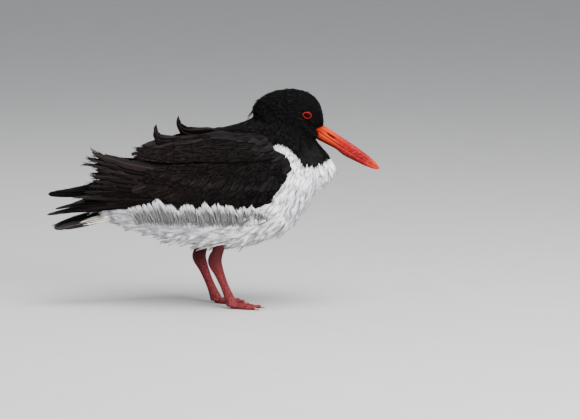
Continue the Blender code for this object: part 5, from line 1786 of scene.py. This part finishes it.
def make_stage():
    """A pale floor that runs on to the horizon on every side."""
    reach = STAGE_REACH
    points = [(-reach, -reach, 0.0), (reach, -reach, 0.0), (reach, reach, 0.0), (-reach, reach, 0.0)]
    mesh = mesh_of("studio_floor", points, [(0, 1, 2), (0, 2, 3)])
    made = Finish("studio_paper", Specular_IOR_Level=0.2)
    grain = made.noise(0.02, 3.0)
    colour = made.mix(grain, (0.33, 0.328, 0.325), (0.36, 0.358, 0.355))
    made.use(Base_Color=colour, Roughness=0.85 + 0.1 * grain)
    mesh.materials.append(made.material)
    floor = bpy.data.objects.new("studio_floor", mesh)
    bpy.context.scene.collection.objects.link(floor)


def soft_light(name, place, aim, size, watts):
    lamp = bpy.data.lights.new(name, "AREA")
    lamp.size = size
    lamp.energy = watts
    obj = bpy.data.objects.new(name, lamp)
    obj.location = place
    obj.rotation_euler = (Vector(aim) - Vector(place)).to_track_quat("-Z", "Y").to_euler()
    bpy.context.scene.collection.objects.link(obj)


def light_studio():
    """Soft light from overhead, from the front and faintly from behind. Places are in metres."""
    world = bpy.data.worlds.new("soft_grey")
    world.use_nodes = True
    background = world.node_tree.nodes["Background"]
    background.inputs["Color"].default_value = (0.92, 0.95, 1.0, 1.0)
    background.inputs["Strength"].default_value = 0.75
    bpy.context.scene.world = world
    aim = (0.03, 0.0, 0.12)
    soft_light("sky", (0.35, -0.7, 1.7), aim, 1.4, 100.0)
    soft_light("front", (1.25, -1.65, 0.85), aim, 1.1, 92.0)
    soft_light("rim", (-0.9, 0.9, 1.1), aim, 0.9, 8.0)


# The point that the camera looks at and its distance from it, in metres, and the degrees that it
# looks down by.
CAMERA_AIM = (0.0765, 0.0, 0.0972)
CAMERA_DISTANCE = 5.0
CAMERA_TILT = 7.0
CAMERA_LENS = 310.3


def set_camera():
    """The photograph's view: from the bird's right side and a little above, with a long lens."""
    camera = bpy.data.cameras.new("portrait")
    camera.lens = CAMERA_LENS
    camera.sensor_width = 36.0
    camera.clip_end = 200.0
    obj = bpy.data.objects.new("portrait", camera)
    tilt = math.radians(CAMERA_TILT)
    away = Vector((0.0, -math.cos(tilt), math.sin(tilt))) * CAMERA_DISTANCE
    obj.location = Vector(CAMERA_AIM) + away
    obj.rotation_euler = (-away).to_track_quat("-Z", "Y").to_euler()
    bpy.context.scene.collection.objects.link(obj)
    bpy.context.scene.camera = obj


def main():
    flank = Flank()
    make_skin(flank)
    white = white_down()
    black = black_down()
    make_locks(black, white)
    make_flank_tufts(flank, white)
    make_fringe("fringe_coat", FRINGE, math.pi, FRINGE_TURNS, (TORSO_START, 14.5),
                (15, 20), (0.8, 1.4), white, "white_plumage")
    make_fringe("nape_fringe", NAPE_FRINGE, 0.0, NAPE_TURNS, (15.5, 20.5),
                (6, 8), (0.5, 0.8), black, "black_plumage")
    make_wings(flank)
    make_blown()
    make_tail()
    make_tail_coverts(white)
    make_bill()
    make_eyes()
    make_legs()
    make_stage()
    light_studio()
    set_camera()


main()
